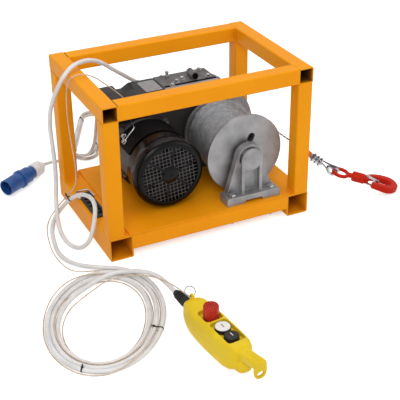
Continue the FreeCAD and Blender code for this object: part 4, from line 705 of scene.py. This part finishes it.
def tie_round(name, spot, held, reach):
    """A tie at a spot, square to the first cord, round each (path, radius) that passes within reach."""
    spot = Vector(spot) / 1000
    first = held[0][0]
    near = min(range(len(first)), key=lambda i: (first[i] - spot).length)
    way = way_at(first, near)
    spot = first[near]
    side = way.cross(Vector((0, 0, 1))).normalized()
    up = side.cross(way)
    dots = []
    for path, radius in held:
        for a, b in zip(path, path[1:]):
            before, after = (a - spot).dot(way), (b - spot).dot(way)
            if before * after <= 0 and before != after:
                cut = a + (b - a) * (before / (before - after)) - spot
                if cut.length < reach:
                    for c in angles(16):
                        dots.append((cut.dot(side) + radius * cos(c), cut.dot(up) + radius * sin(c)))
    hull = [Vector(dots[i]) for i in convex_hull_2d(dots)]
    middle = sum(hull, Vector((0, 0))) / len(hull)
    strap = bmesh.new()
    rings = []
    for end, out in ((-1, strap_in), (1, strap_in), (1, strap_out), (-1, strap_out)):
        ring = []
        for p in hull:
            q = p + (p - middle).normalized() * out
            ring.append(strap.verts.new(spot + side * q.x + up * q.y + way * (end * strap_half)))
        rings.append(ring)
    for low, high in zip(rings, rings[1:] + rings[:1]):
        band(strap, low, high)
    top = max(hull, key=lambda p: p.y)
    out = (top - middle).normalized()
    crest = Matrix((side * out.y - up * out.x, way, side * out.x + up * out.y)).transposed().to_4x4()
    crest.translation = spot + side * top.x + up * top.y
    head = block(strap, head_size, crest @ upright_at(0, 0, 1.2))
    block(strap, tail_size, crest @ leaning)
    head_edges = list({e for v in head for e in v.link_edges})
    bmesh.ops.bevel(strap, geom=head_edges, offset=0.0006, segments=2, affect="EDGES")
    for v in strap.verts:
        v.co.z = max(v.co.z, 0.0)
    return made_of(strap, name, "black_plastic", black_nylon)


coil_cords = [(control_path, control_r), (strain_path, strain_r)]
coil_ties = [
    tie_round("coil_tie_right", (-277.8, -489.7, 8), coil_cords, 0.022),
    tie_round("coil_tie_left", (-479.3, -551.6, 8), coil_cords, 0.009),
    tie_round("loop_tie", (-291, 53, 60), coil_cords, 0.014),
]

# ------ mains lead
# Three-core mains lead, 9 mm, from the rear gland down to the floor behind the
# frame, folded into a tied hank of three loops, and out to its plug.

# The same PVC, older: a warm grey white.
aged_pvc = new_finish(
    "extruded_aged_pvc", ("#C9B9AC", "#E4E0DC"), 38, 8, 0.06, (0.36, 0.5), IOR=1.53)[0]
hank_way = Vector((143, 296, 0)).normalized()
hank_side = Vector((-hank_way.y, hank_way.x, 0))
hank_x, hank_y = -156.01, 346


def hank_turns(lying, turns):
    """Points of the hank from (millimetres along it, millimetres to its left, any height)."""
    found = []
    for along, left, *height in turns:
        spot = hank_way * along + hank_side * left
        found.append((hank_x + spot.x, hank_y + spot.y, *(height or [lying])))
    return found


mains_route = [
    (-120.01, 196, 257.05), (-121.01, 218, 255.05), (-124.01, 240, 243.05), (-128, 256, 218.05),
    (-132, 264, 180), (-136, 267, 136), (-140, 273, 94), (-145, 290, 58), (-150, 318, 33),
] + hank_turns(5, [
    (10, -22, 26), (42, -33, 23), (80, -34.5, 18.5), (125, -33.2, 13.5), (180, -33, 13.2), (235, -34, 13.2),
    (272, -33.6, 13.2), (300, -33.6, 13.2), (319, -14, 13.2), (319, 14, 13.2), (300, 33.6, 13.2),
    (272, 33.6, 13.2), (214, 33, 13.2), (155, 34, 13.2), (102, 33.6, 13.3), (60, 33.6, 14.5),
    (28.8, 33.6, 15.5), (10, 14.2, 15.5), (11, -13, 15.5), (30.5, -29.5, 14.5), (62, -29.2, 11), (104, -28.8),
    (160, -29.4), (220, -29.2), (270, -29.2), (298, -29.2), (314.8, -12.2), (314.8, 12.2), (298, 29.2),
    (270, 29.2), (215, 29.2), (155, 29.4), (102, 29.2), (60, 29.2), (30.6, 29.2), (12, 12.5), (7, -14),
    (27, -38.3), (58, -38.4), (105, -38.2), (165, -38.6), (225, -38.4), (270, -38.4), (302.4, -38.4),
    (324.2, -16), (324.2, 16), (302.4, 38.4), (270, 38.4), (220, 38.8), (165, 38.6), (112, 38.4), (70, 39),
]) + [
    (-181, 391, 5), (-200, 374, 5), (-223, 364, 9), (-248, 351, 19), (-278, 331, 25.5),
]
mains_r = 0.0045
mains_lead = lay_cord("mains_lead", mains_route, mains_r, aged_pvc)
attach(mains_lead, "winch")
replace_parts(mains_lead, "mains_lead_upper", "mains_hank", "mains_lead_lower")
mains_path = line_of(mains_route)
for end, along in (("near", 62), ("far", 262)):
    for side_name, left in (("left", 34), ("right", -34)):
        spot = hank_turns(9, [(along, left)])[0]
        tie_round(f"hank_tie_{end}_{side_name}", spot, [(mains_path, mains_r)], 0.03)

# ------ plug
# Blue industrial plug: moulded nylon body with a flange and an open shroud,
# and a ribbed white nut that grips the lead.
plug_way = Vector((-0.839, -0.545, 0)).normalized()
plug_place = Matrix((Vector((0, 0, 1)).cross(plug_way), Vector((0, 0, 1)), plug_way)).transposed().to_4x4()
plug_place.translation = Vector((-278, 331, 25.5)) / 1000

# Glass-filled nylon, moulded: strong blue, half gloss, with faint flow marks.
blue_nylon = new_finish(
    "moulded_blue_nylon", ("#163F7E", "#2559A0"), 25, 1.5, 0.04, (0.32, 0.44), 0.8, IOR=1.53, shine=0.35)[0]
cover(blue_nylon, "plug_body", "estop_collar")

# White nylon: slightly warm, waxy.
white_nylon = new_finish(
    "moulded_white_nylon", ("#E0DDD8", "#EFEDE9"), 20, 1.5, 0.02, (0.34, 0.44), 0.6, IOR=1.53,
    Subsurface_Weight=0.08, Subsurface_Radius=(0.003, 0.003, 0.003))[0]
cover(white_nylon, "white_button")
plug_nut = turned_piece(
    "plug_nut", "white_plastic", white_nylon,
    [(4.6, 0), (8.8, 0), (9.2, 2), (13.8, 10), (18.5, 15), (20, 17.5), (20.5, 20), (20.7, 30), (20.9, 44),
     (20.2, 47.2), (19, 47.9), (4.6, 47.9), (4.6, 0)], plug_place, 144, ribs=(24, 1.1, 18, 45))
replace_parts(plug_nut, "plug_collar")

# ------ wire rope tail
# The rope's free end, drawn off the drum and bent round a steel thimble, held
# by three clips, with a rubber stop above them.
rope_way = Vector((0.7547, 0.0, -0.6561)).normalized()
across_eye = Vector((0.55919, 0.82904, 0))
across_eye = (across_eye - rope_way * across_eye.dot(rope_way)).normalized()
in_eye = across_eye.cross(rope_way)
thimble_at = Vector((405.719, -107.4, 50.678))
eye_r, split, beside = 16.83, 39.2, -5.6
eye_turn = [(eye_r * cos(radians(a)), eye_r * sin(radians(a))) for a in (88.5, 29.5, -29.5, -88.5)]
to_eye, from_eye = [(-297, 0), (-205, 0), (-112, 0), (-split, 0)], [(-split, beside), (-split - 59, beside)]
rope_route = [thimble_at + rope_way * x + in_eye * y for x, y in to_eye + eye_turn + from_eye]
rope_path = line_of(rope_route)
tail = bmesh.new()
run_along(tail, rope_path, rope_section(rope_size, 6), rope_lay)
wire_rope = made_of(tail, "wire_rope_tail", "rope_steel", rope_wire)
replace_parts(wire_rope, "wire_rope")

# Moulded rubber stop: orange, dull.
cover(new_finish(
    "moulded_orange_rubber", ("#C2521A", "#DE6A24"), 7, 1, 0.03, (0.55, 0.68), 0.6, shine=0.3)[0], "rope_stop")

# ------ hook
# Drop-forged swivel hook, painted red, with a sprung sheet latch across its
# throat.

# Dipped paint over a forging: deep red, pooled smooth, with the scale of the
# forging beneath as an unevenness 5 mm wide and dark steel at rubbed edges.
cover(new_finish(
    "dipped_red_paint", ("#B41C0B", "#C92A12"), 16, 5, 0.12, (0.34, 0.46), 1.2, (0.35, "#7C2A1C"),
    shine=0.1)[0], "hook_eye", "hook_body")

# ------ pendant
# Hand control of two moulded yellow shells with a ribbed rubber boot, an
# emergency stop that is pushed in and twisted out, and two push buttons.
pendant_along = Vector((0.105, -0.9945, 0)).normalized()
pendant_left = Vector((-pendant_along.y, pendant_along.x, 0))
pendant_from = Vector((-0.203, -0.463, 0))
pocket_floor = 0.0541

# Moulded ABS, self-coloured: warm yellow, half gloss, with a fine mould texture
# (0.7 mm, drawn at 1.5 mm).
yellow_abs = new_finish(
    "moulded_yellow_abs", ("#E0BE1C", "#EBCA26"), 40, 1.5, 0.04, (0.36, 0.46), 1.5, IOR=1.53, shine=0.16)[0]
mould_voxel, shell_split, split_gap = 0.0010, 0.036, 0.0001


def pendant_spot(s, v, w):
    """A point in millimetres along the pendant, across it and up from the floor."""
    return pendant_from + (pendant_along * s + pendant_left * v + Vector((0, 0, w))) / 1000


def pendant_loft(name, square, sections, count=56):
    """A solid over sections (along, lowest, highest, half width, bulge), squarer for a higher square."""
    body = bmesh.new()
    rings = []
    for s, low, high, half, *bulge in sections:
        ring = []
        for a in angles(count, 0.5):
            v, w = [copysign(abs(part) ** (2 / square), part) for part in (cos(a), sin(a))]
            flare = 1 - w * w + 1.6 * max(0.0, -w) * (1 - 0.25 * w * w)
            across = v * (half + sum(bulge) * flare)
            ring.append(body.verts.new(pendant_spot(s, across, (low + high) / 2 + w * (high - low) / 2)))
        rings.append(ring)
    skin_over(body, rings)
    return made_of(body, name, None)


shell = pendant_loft("pendant_moulding", 5, [
    (16, 25, 47, 12.5, 0.5), (18, 22.5, 52, 15, 1), (23, 19.5, 58, 18.5, 1.5), (31, 16, 62.5, 21.5, 2.5),
    (43, 11.5, 65.5, 24.5, 3.5), (58, 7.5, 66, 26.5, 4.5), (78, 4, 66, 28.2, 5), (100, 1.5, 66, 28.8, 5),
    (130, 0.2, 66, 29, 5), (165, 0.1, 66, 29, 4.5), (195, 0.6, 66, 28.6, 4), (211, 3, 65.6, 27.4, 3),
    (221, 7, 64.2, 24.5, 2), (227, 12, 61.5, 21.5, 1), (231, 18, 57, 18, 0)])
joined = [
    pendant_loft("handle_solid", 4, [
        (204, 28, 58, 14), (218, 31, 56.5, 14.5), (232, 35, 57.5, 14.5), (250, 39, 60, 14.5),
        (268, 43.5, 62.8, 14.5), (282, 46.5, 65, 14.8), (288, 48, 65.6, 14.6), (291, 50, 64.6, 13.6)]),
    pendant_loft("heel_solid", 3.2, [
        (204, 0.4, 40, 18), (222, 0.4, 39, 18), (233, 1.5, 36, 16.8), (240, 5, 31, 13.5), (244, 9.5, 26, 9)]),
    pendant_loft("plate_solid", 2.5, [
        (284, 26, 64, 13.5), (285.5, 23.6, 65.6, 15.2), (289.5, 23.2, 65.8, 15.4), (291.5, 25, 64.4, 14)]),
    pendant_loft("lug_solid", 3.6, [
        (22, 50, 71, 3.4), (23, 50, 73.6, 4), (32, 50, 74.6, 4), (33.4, 50, 72, 3.4)]),
]

# The pockets that the stop and the buttons stand in, the room for the contacts,
# the holes for the stems, and the slots in the end loop and the lug.
pocket_half, pocket_r = 21, 8
pockets = bmesh.new()
for first, last in ((80, 124), (129, 208)):
    rim = []
    side = pocket_half - pocket_r
    low, high = first + pocket_r, last - pocket_r
    for s, v, start in ((high, side, 0), (low, side, 90), (low, -side, 180), (high, -side, 270)):
        for a in (radians(start + 15 * k) for k in range(7)):
            rim.append((s + pocket_r * cos(a), v + pocket_r * sin(a)))
    skin_over(pockets, [[pockets.verts.new(pendant_spot(s, v, w)) for s, v in rim] for w in (54, 80)])
holes = bmesh.new()
for s in (105, 150, 184):
    turned(holes, [(0, 0), (9, 0), (9, 18), (0, 18)], Matrix.Translation(pendant_spot(s, 0, 44)), 32)
lug_hole = bmesh.new()
crosswise = pendant_left.to_track_quat("Z", "Y").to_matrix().to_4x4()
crosswise.translation = pendant_spot(28, 0, 70)
turned(lug_hole, [(0, -9), (2.7, -9), (2.7, 9), (0, 9)], crosswise, 24)
cutters = [
    made_of(pockets, "pocket_cut", None),
    pendant_loft("room_cut", 6, [
        (42, 24, 47, 14), (72, 14, 48, 22), (90, 7, 48, 24), (205, 7, 48, 24), (211, 10, 46, 20)]),
    made_of(holes, "stem_cut", None),
    pendant_loft("slot_cut", 2.6, [(276, 29, 42, 8.5), (300, 29, 42, 8.5)]),
    made_of(lug_hole, "lug_cut", None),
]
for other, how in [(o, "UNION") for o in joined] + [(o, "DIFFERENCE") for o in cutters]:
    step = shell.modifiers.new(other.name, "BOOLEAN")
    step.object, step.operation, step.solver = other, how, "EXACT"
even = shell.modifiers.new("even_skin", "REMESH")
even.mode, even.voxel_size = "VOXEL", mould_voxel
soft = shell.modifiers.new("soft_edges", "SMOOTH")
soft.factor, soft.iterations = 0.5, 4
whole = bpy.data.meshes.new_from_object(shell.evaluated_get(bpy.context.evaluated_depsgraph_get()))
for spent in joined + cutters + [shell]:
    bpy.data.objects.remove(spent)
for name, node, upper in (("pendant_shell_upper", "pendant_front_shell", True),
                          ("pendant_shell_lower", "pendant_back_shell", False)):
    half = bmesh.new()
    half.from_mesh(whole)
    split_at = shell_split + (split_gap if upper else -split_gap)
    cut = bmesh.ops.bisect_plane(
        half, geom=half.verts[:] + half.edges[:] + half.faces[:], plane_co=(0, 0, split_at), plane_no=(0, 0, 1),
        clear_inner=upper, clear_outer=not upper)["geom_cut"]
    bmesh.ops.triangle_fill(half, edges=[e for e in cut if isinstance(e, bmesh.types.BMEdge)], use_beauty=True)
    for v in half.verts:
        v.co.z = max(v.co.z, 0.0)
    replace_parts(made_of(half, name, "pendant_yellow", yellow_abs), node)
bpy.data.meshes.remove(whole)

# Moulded rubber: soft black with a grey bloom.
black_rubber = new_finish(
    "moulded_black_rubber", ("#121111", "#262424"), 14, 1.2, 0.03, (0.55, 0.7), 0.6, shine=0.3)[0]
cover(black_rubber, "pendant_boot")

# Spring steel, split and wound: grey, a little dull.
cover(new_finish(
    "wound_spring_steel", ("#6E6E70", "#8F8F91"), 9, 0.8, 0.01, (0.28, 0.4), 0.3, Metallic=1)[0],
    "pendant_ring")

# Emergency stop knob: a tall moulded red cap whose skirt runs down over its
# collar, with small raised dots over its crown and round the foot of its side.
# The dots are coloured dark red-brown.
red_abs, dark_red_abs = [
    new_finish(name, tones, cloud_mm, 1.2, 0.02, roughness, IOR=1.53, shine=0.14)[0]
    for name, tones, cloud_mm, roughness in (
        ("moulded_red_abs", ("#B32714", "#C43420"), 11, (0.36, 0.46)),
        ("dark_red_dot_abs", ("#2E0906", "#45100A"), 5, (0.45, 0.55)))
]
low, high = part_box("estop_cap")
knob_x, knob_y, _ = (low + high) / 2
knob_place = Matrix.Translation((knob_x, knob_y, low.z))
knob_r, inner_r, skirt_z, dot_r, dot_high = 17.1, 16.8, -5.6, 1.5, 0.6
crown_z = (high.z - low.z) * 1000 - dot_high
crown = [(1, 7.5), (1, 5.2), (0.985, 3.6), (0.95, 2.3), (0.88, 1.4), (0.7, 0.8), (0.4, 0.3), (0, 0)]
knob = bmesh.new()
turned(knob, [(0, 0), (inner_r - 0.4, 0), (inner_r, -0.4), (inner_r, skirt_z), (knob_r, skirt_z), (knob_r, 4)]
       + [(knob_r * share, crown_z - drop) for share, drop in crown], knob_place, 144)
plain = len(knob.faces)
for ring, count in enumerate((1, 6, 11, 15)):
    r = knob_r * 0.28 * ring
    fall = (r / knob_r / 0.7) ** 2
    for a in angles(count, 0.5 * (ring % 2)):
        turned(knob, [(0, -0.4), (dot_r, -0.4), (dot_r - 0.2, dot_high * 0.6), (0, dot_high)],
               knob_place @ upright_at(r * cos(a), r * sin(a), crown_z - fall), 8)
for row, height in enumerate((-2.5, 2.5, 7.5)):
    for a in angles(15, 0.5 * (row % 2)):
        out = upright_at(knob_r - 0.3, 0, height) @ spun(90, "Y")
        turned(knob, [(0, -0.1), (dot_r, -0.1), (dot_r - 0.2, 0.3), (0, dot_high)],
               knob_place @ Matrix.Rotation(a, 4, "Z") @ out, 8)
for face in list(knob.faces)[plain:]:
    face.material_index = 1
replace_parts(made_of(knob, "estop_knob", "knob_red", red_abs, dark_red_abs, body="stop_knob"), "estop_cap")

# Blue ring on the shell under the emergency stop, and the rubber gaiter inside
# the knob, which folds as it is pushed.
turned_piece("estop_ring", "collar_blue", blue_nylon,
             [(17.6, 0), (18.9, 0), (18.9, 0.6), (18.6, 0.9), (17.6, 0.9), (17.6, 0)],
             Matrix.Translation((knob_x, knob_y, pocket_floor)), 72)
gaiter_at = (knob_x, knob_y, 0.06005)
gaiter_fold = turned_piece(
    "estop_gaiter", "black_plastic", black_rubber,
    [(8.6, 0), (15, 0), (15, 1), (14, 2), (14.9, 3), (14, 4), (14.4, 4.7), (8.6, 4.7), (8.6, 0)],
    Matrix.Translation(gaiter_at), 64)
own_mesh(gaiter_fold)

# Push buttons: a disc on a rubber skirt that folds down as it is pressed, with
# a bar inked along it, white on black and dark on white. The white disc is set
# in a black ring.
for key, finish, slot in (("black", white_nylon, "white_plastic"), ("white", grey_enamel, "black_plastic")):
    low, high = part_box(f"{key}_button")
    centre = (low + high) / 2
    centre.z = high.z
    bar = bmesh.new()
    lengthwise = Matrix((pendant_along, pendant_left, Vector((0, 0, 1)))).transposed().to_4x4()
    block(bar, (11, 2, 0.6), Matrix.Translation(centre) @ lengthwise)
    bmesh.ops.bevel(bar, geom=bar.edges[:], offset=0.0002, segments=2, affect="EDGES")
    made_of(bar, f"{key}_button_bar", slot, finish, body=f"{key}_key")
    if key == "black":
        domed = turned_piece(
            "black_button_dome", "black_plastic", black_abs,
            [(0, -13), (6, -13), (6, -7.5), (16, -7.5), (16.5, -6.8), (16.5, -4.8), (16, -3), (14.8, -1.6),
             (12.5, -0.7), (8.5, -0.2), (0, 0)], Matrix.Translation(centre), 72, body="black_key")
        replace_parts(domed, "black_button")
    floor_at = (centre.x, centre.y, pocket_floor)
    fold = turned_piece(
        f"{key}_button_skirt", "black_plastic", black_rubber,
        [(12, 0), (16.8, 0), (16.8, 0.8), (15.8, 1.6), (16.5, 2.6), (15.5, 3.6), (16, 4.7), (12, 4.7), (12, 0)],
        Matrix.Translation(floor_at), 64)
    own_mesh(fold)
    if key == "white":
        turned_piece("white_button_rim", "black_plastic", black_abs,
                     [(16, -7.4), (16.9, -7.4), (16.9, -3.4), (16.6, -2.8), (16, -2.8), (16, -7.4)],
                     Matrix.Translation(centre), 72, body="white_key")

# ------ floor, light, camera
# A white studio sweep, one large soft lamp high at the front left, a broad fill
# from the right, one overhead and an even white surround.
sweep = bmesh.new()
bmesh.ops.create_grid(sweep, x_segments=1, y_segments=1, size=12.0)
floor_paper, tree, coat = new_finish(
    "white_studio_paper", ("#F2F2F2", "#F6F6F6"), 400, 3, 0, (0.9, 0.95), shine=0,
    Emission_Color=linear("#FFFFFF"))


def seen_white(tree):
    """One for rays from the camera, a gloss or a clear surface, and nothing for soft light."""
    seen = add(tree, "LightPath").outputs
    white = seen["Is Camera Ray"]
    for ray in ("Is Glossy Ray", "Is Transmission Ray"):
        white = add(tree, "Math", {0: white, 1: seen[ray]}, operation="MAXIMUM").outputs[0]
    return white


lift = add(tree, "Math", {0: seen_white(tree), 1: 0.55}, operation="MULTIPLY").outputs[0]
tree.links.new(lift, coat["shader"].inputs["Emission Strength"])
made_of(sweep, "studio_floor", None, floor_paper)

world = bpy.data.worlds.new("white_studio")
bpy.context.scene.world = world
world.use_nodes = True
tree = world.node_tree
tree.nodes.clear()
around = add(tree, "Background", {"Color": linear("#FFFFFF"), "Strength": 0.46})
backdrop = add(tree, "Background", {"Color": linear("#FFFFFF"), "Strength": 1.0})
shown = add(tree, "MixShader", {0: seen_white(tree), 1: around.outputs[0], 2: backdrop.outputs[0]})
add(tree, "OutputWorld", {"Surface": shown.outputs[0]})

for name, spot, aim, size, power in (
    ("key_softbox", (-1.6, -2.6, 2.6), (0, -0.1, 0.15), 1.8, 47),
    ("fill_softbox", (2.4, -1.6, 1.6), (0, 0, 0.15), 2.0, 14),
    ("top_softbox", (0.2, 0.4, 3.0), (0, 0, 0.1), 2.4, 30),
):
    lamp = bpy.data.lights.new(name, "AREA")
    lamp.size = size
    lamp.energy = power
    held = put(name, lamp)
    held.location = spot
    held.rotation_euler = (Vector(aim) - Vector(spot)).to_track_quat("-Z", "Y").to_euler()

camera_data = bpy.data.cameras.new("photo_camera")
camera_data.sensor_width = 36.0
camera_data.lens = 88.53
camera_data.clip_end = 60.0
camera = put("photo_camera", camera_data)
azimuth, elevation, roll = radians(-25.35), radians(29.60), radians(-0.66)
back = Vector((sin(azimuth) * cos(elevation), -cos(azimuth) * cos(elevation), sin(elevation)))
right = (-back).cross(Vector((0, 0, 1))).normalized()
up = right.cross(-back)
rolled = (right * cos(roll) + up * sin(roll), up * cos(roll) - right * sin(roll), back)
stand = Matrix(rolled).transposed().to_4x4()
stand.translation = Vector((-0.9341, -2.0855, 1.3057))
camera.matrix_world = stand
bpy.context.scene.camera = camera
bpy.context.scene.view_settings.view_transform = "Standard"
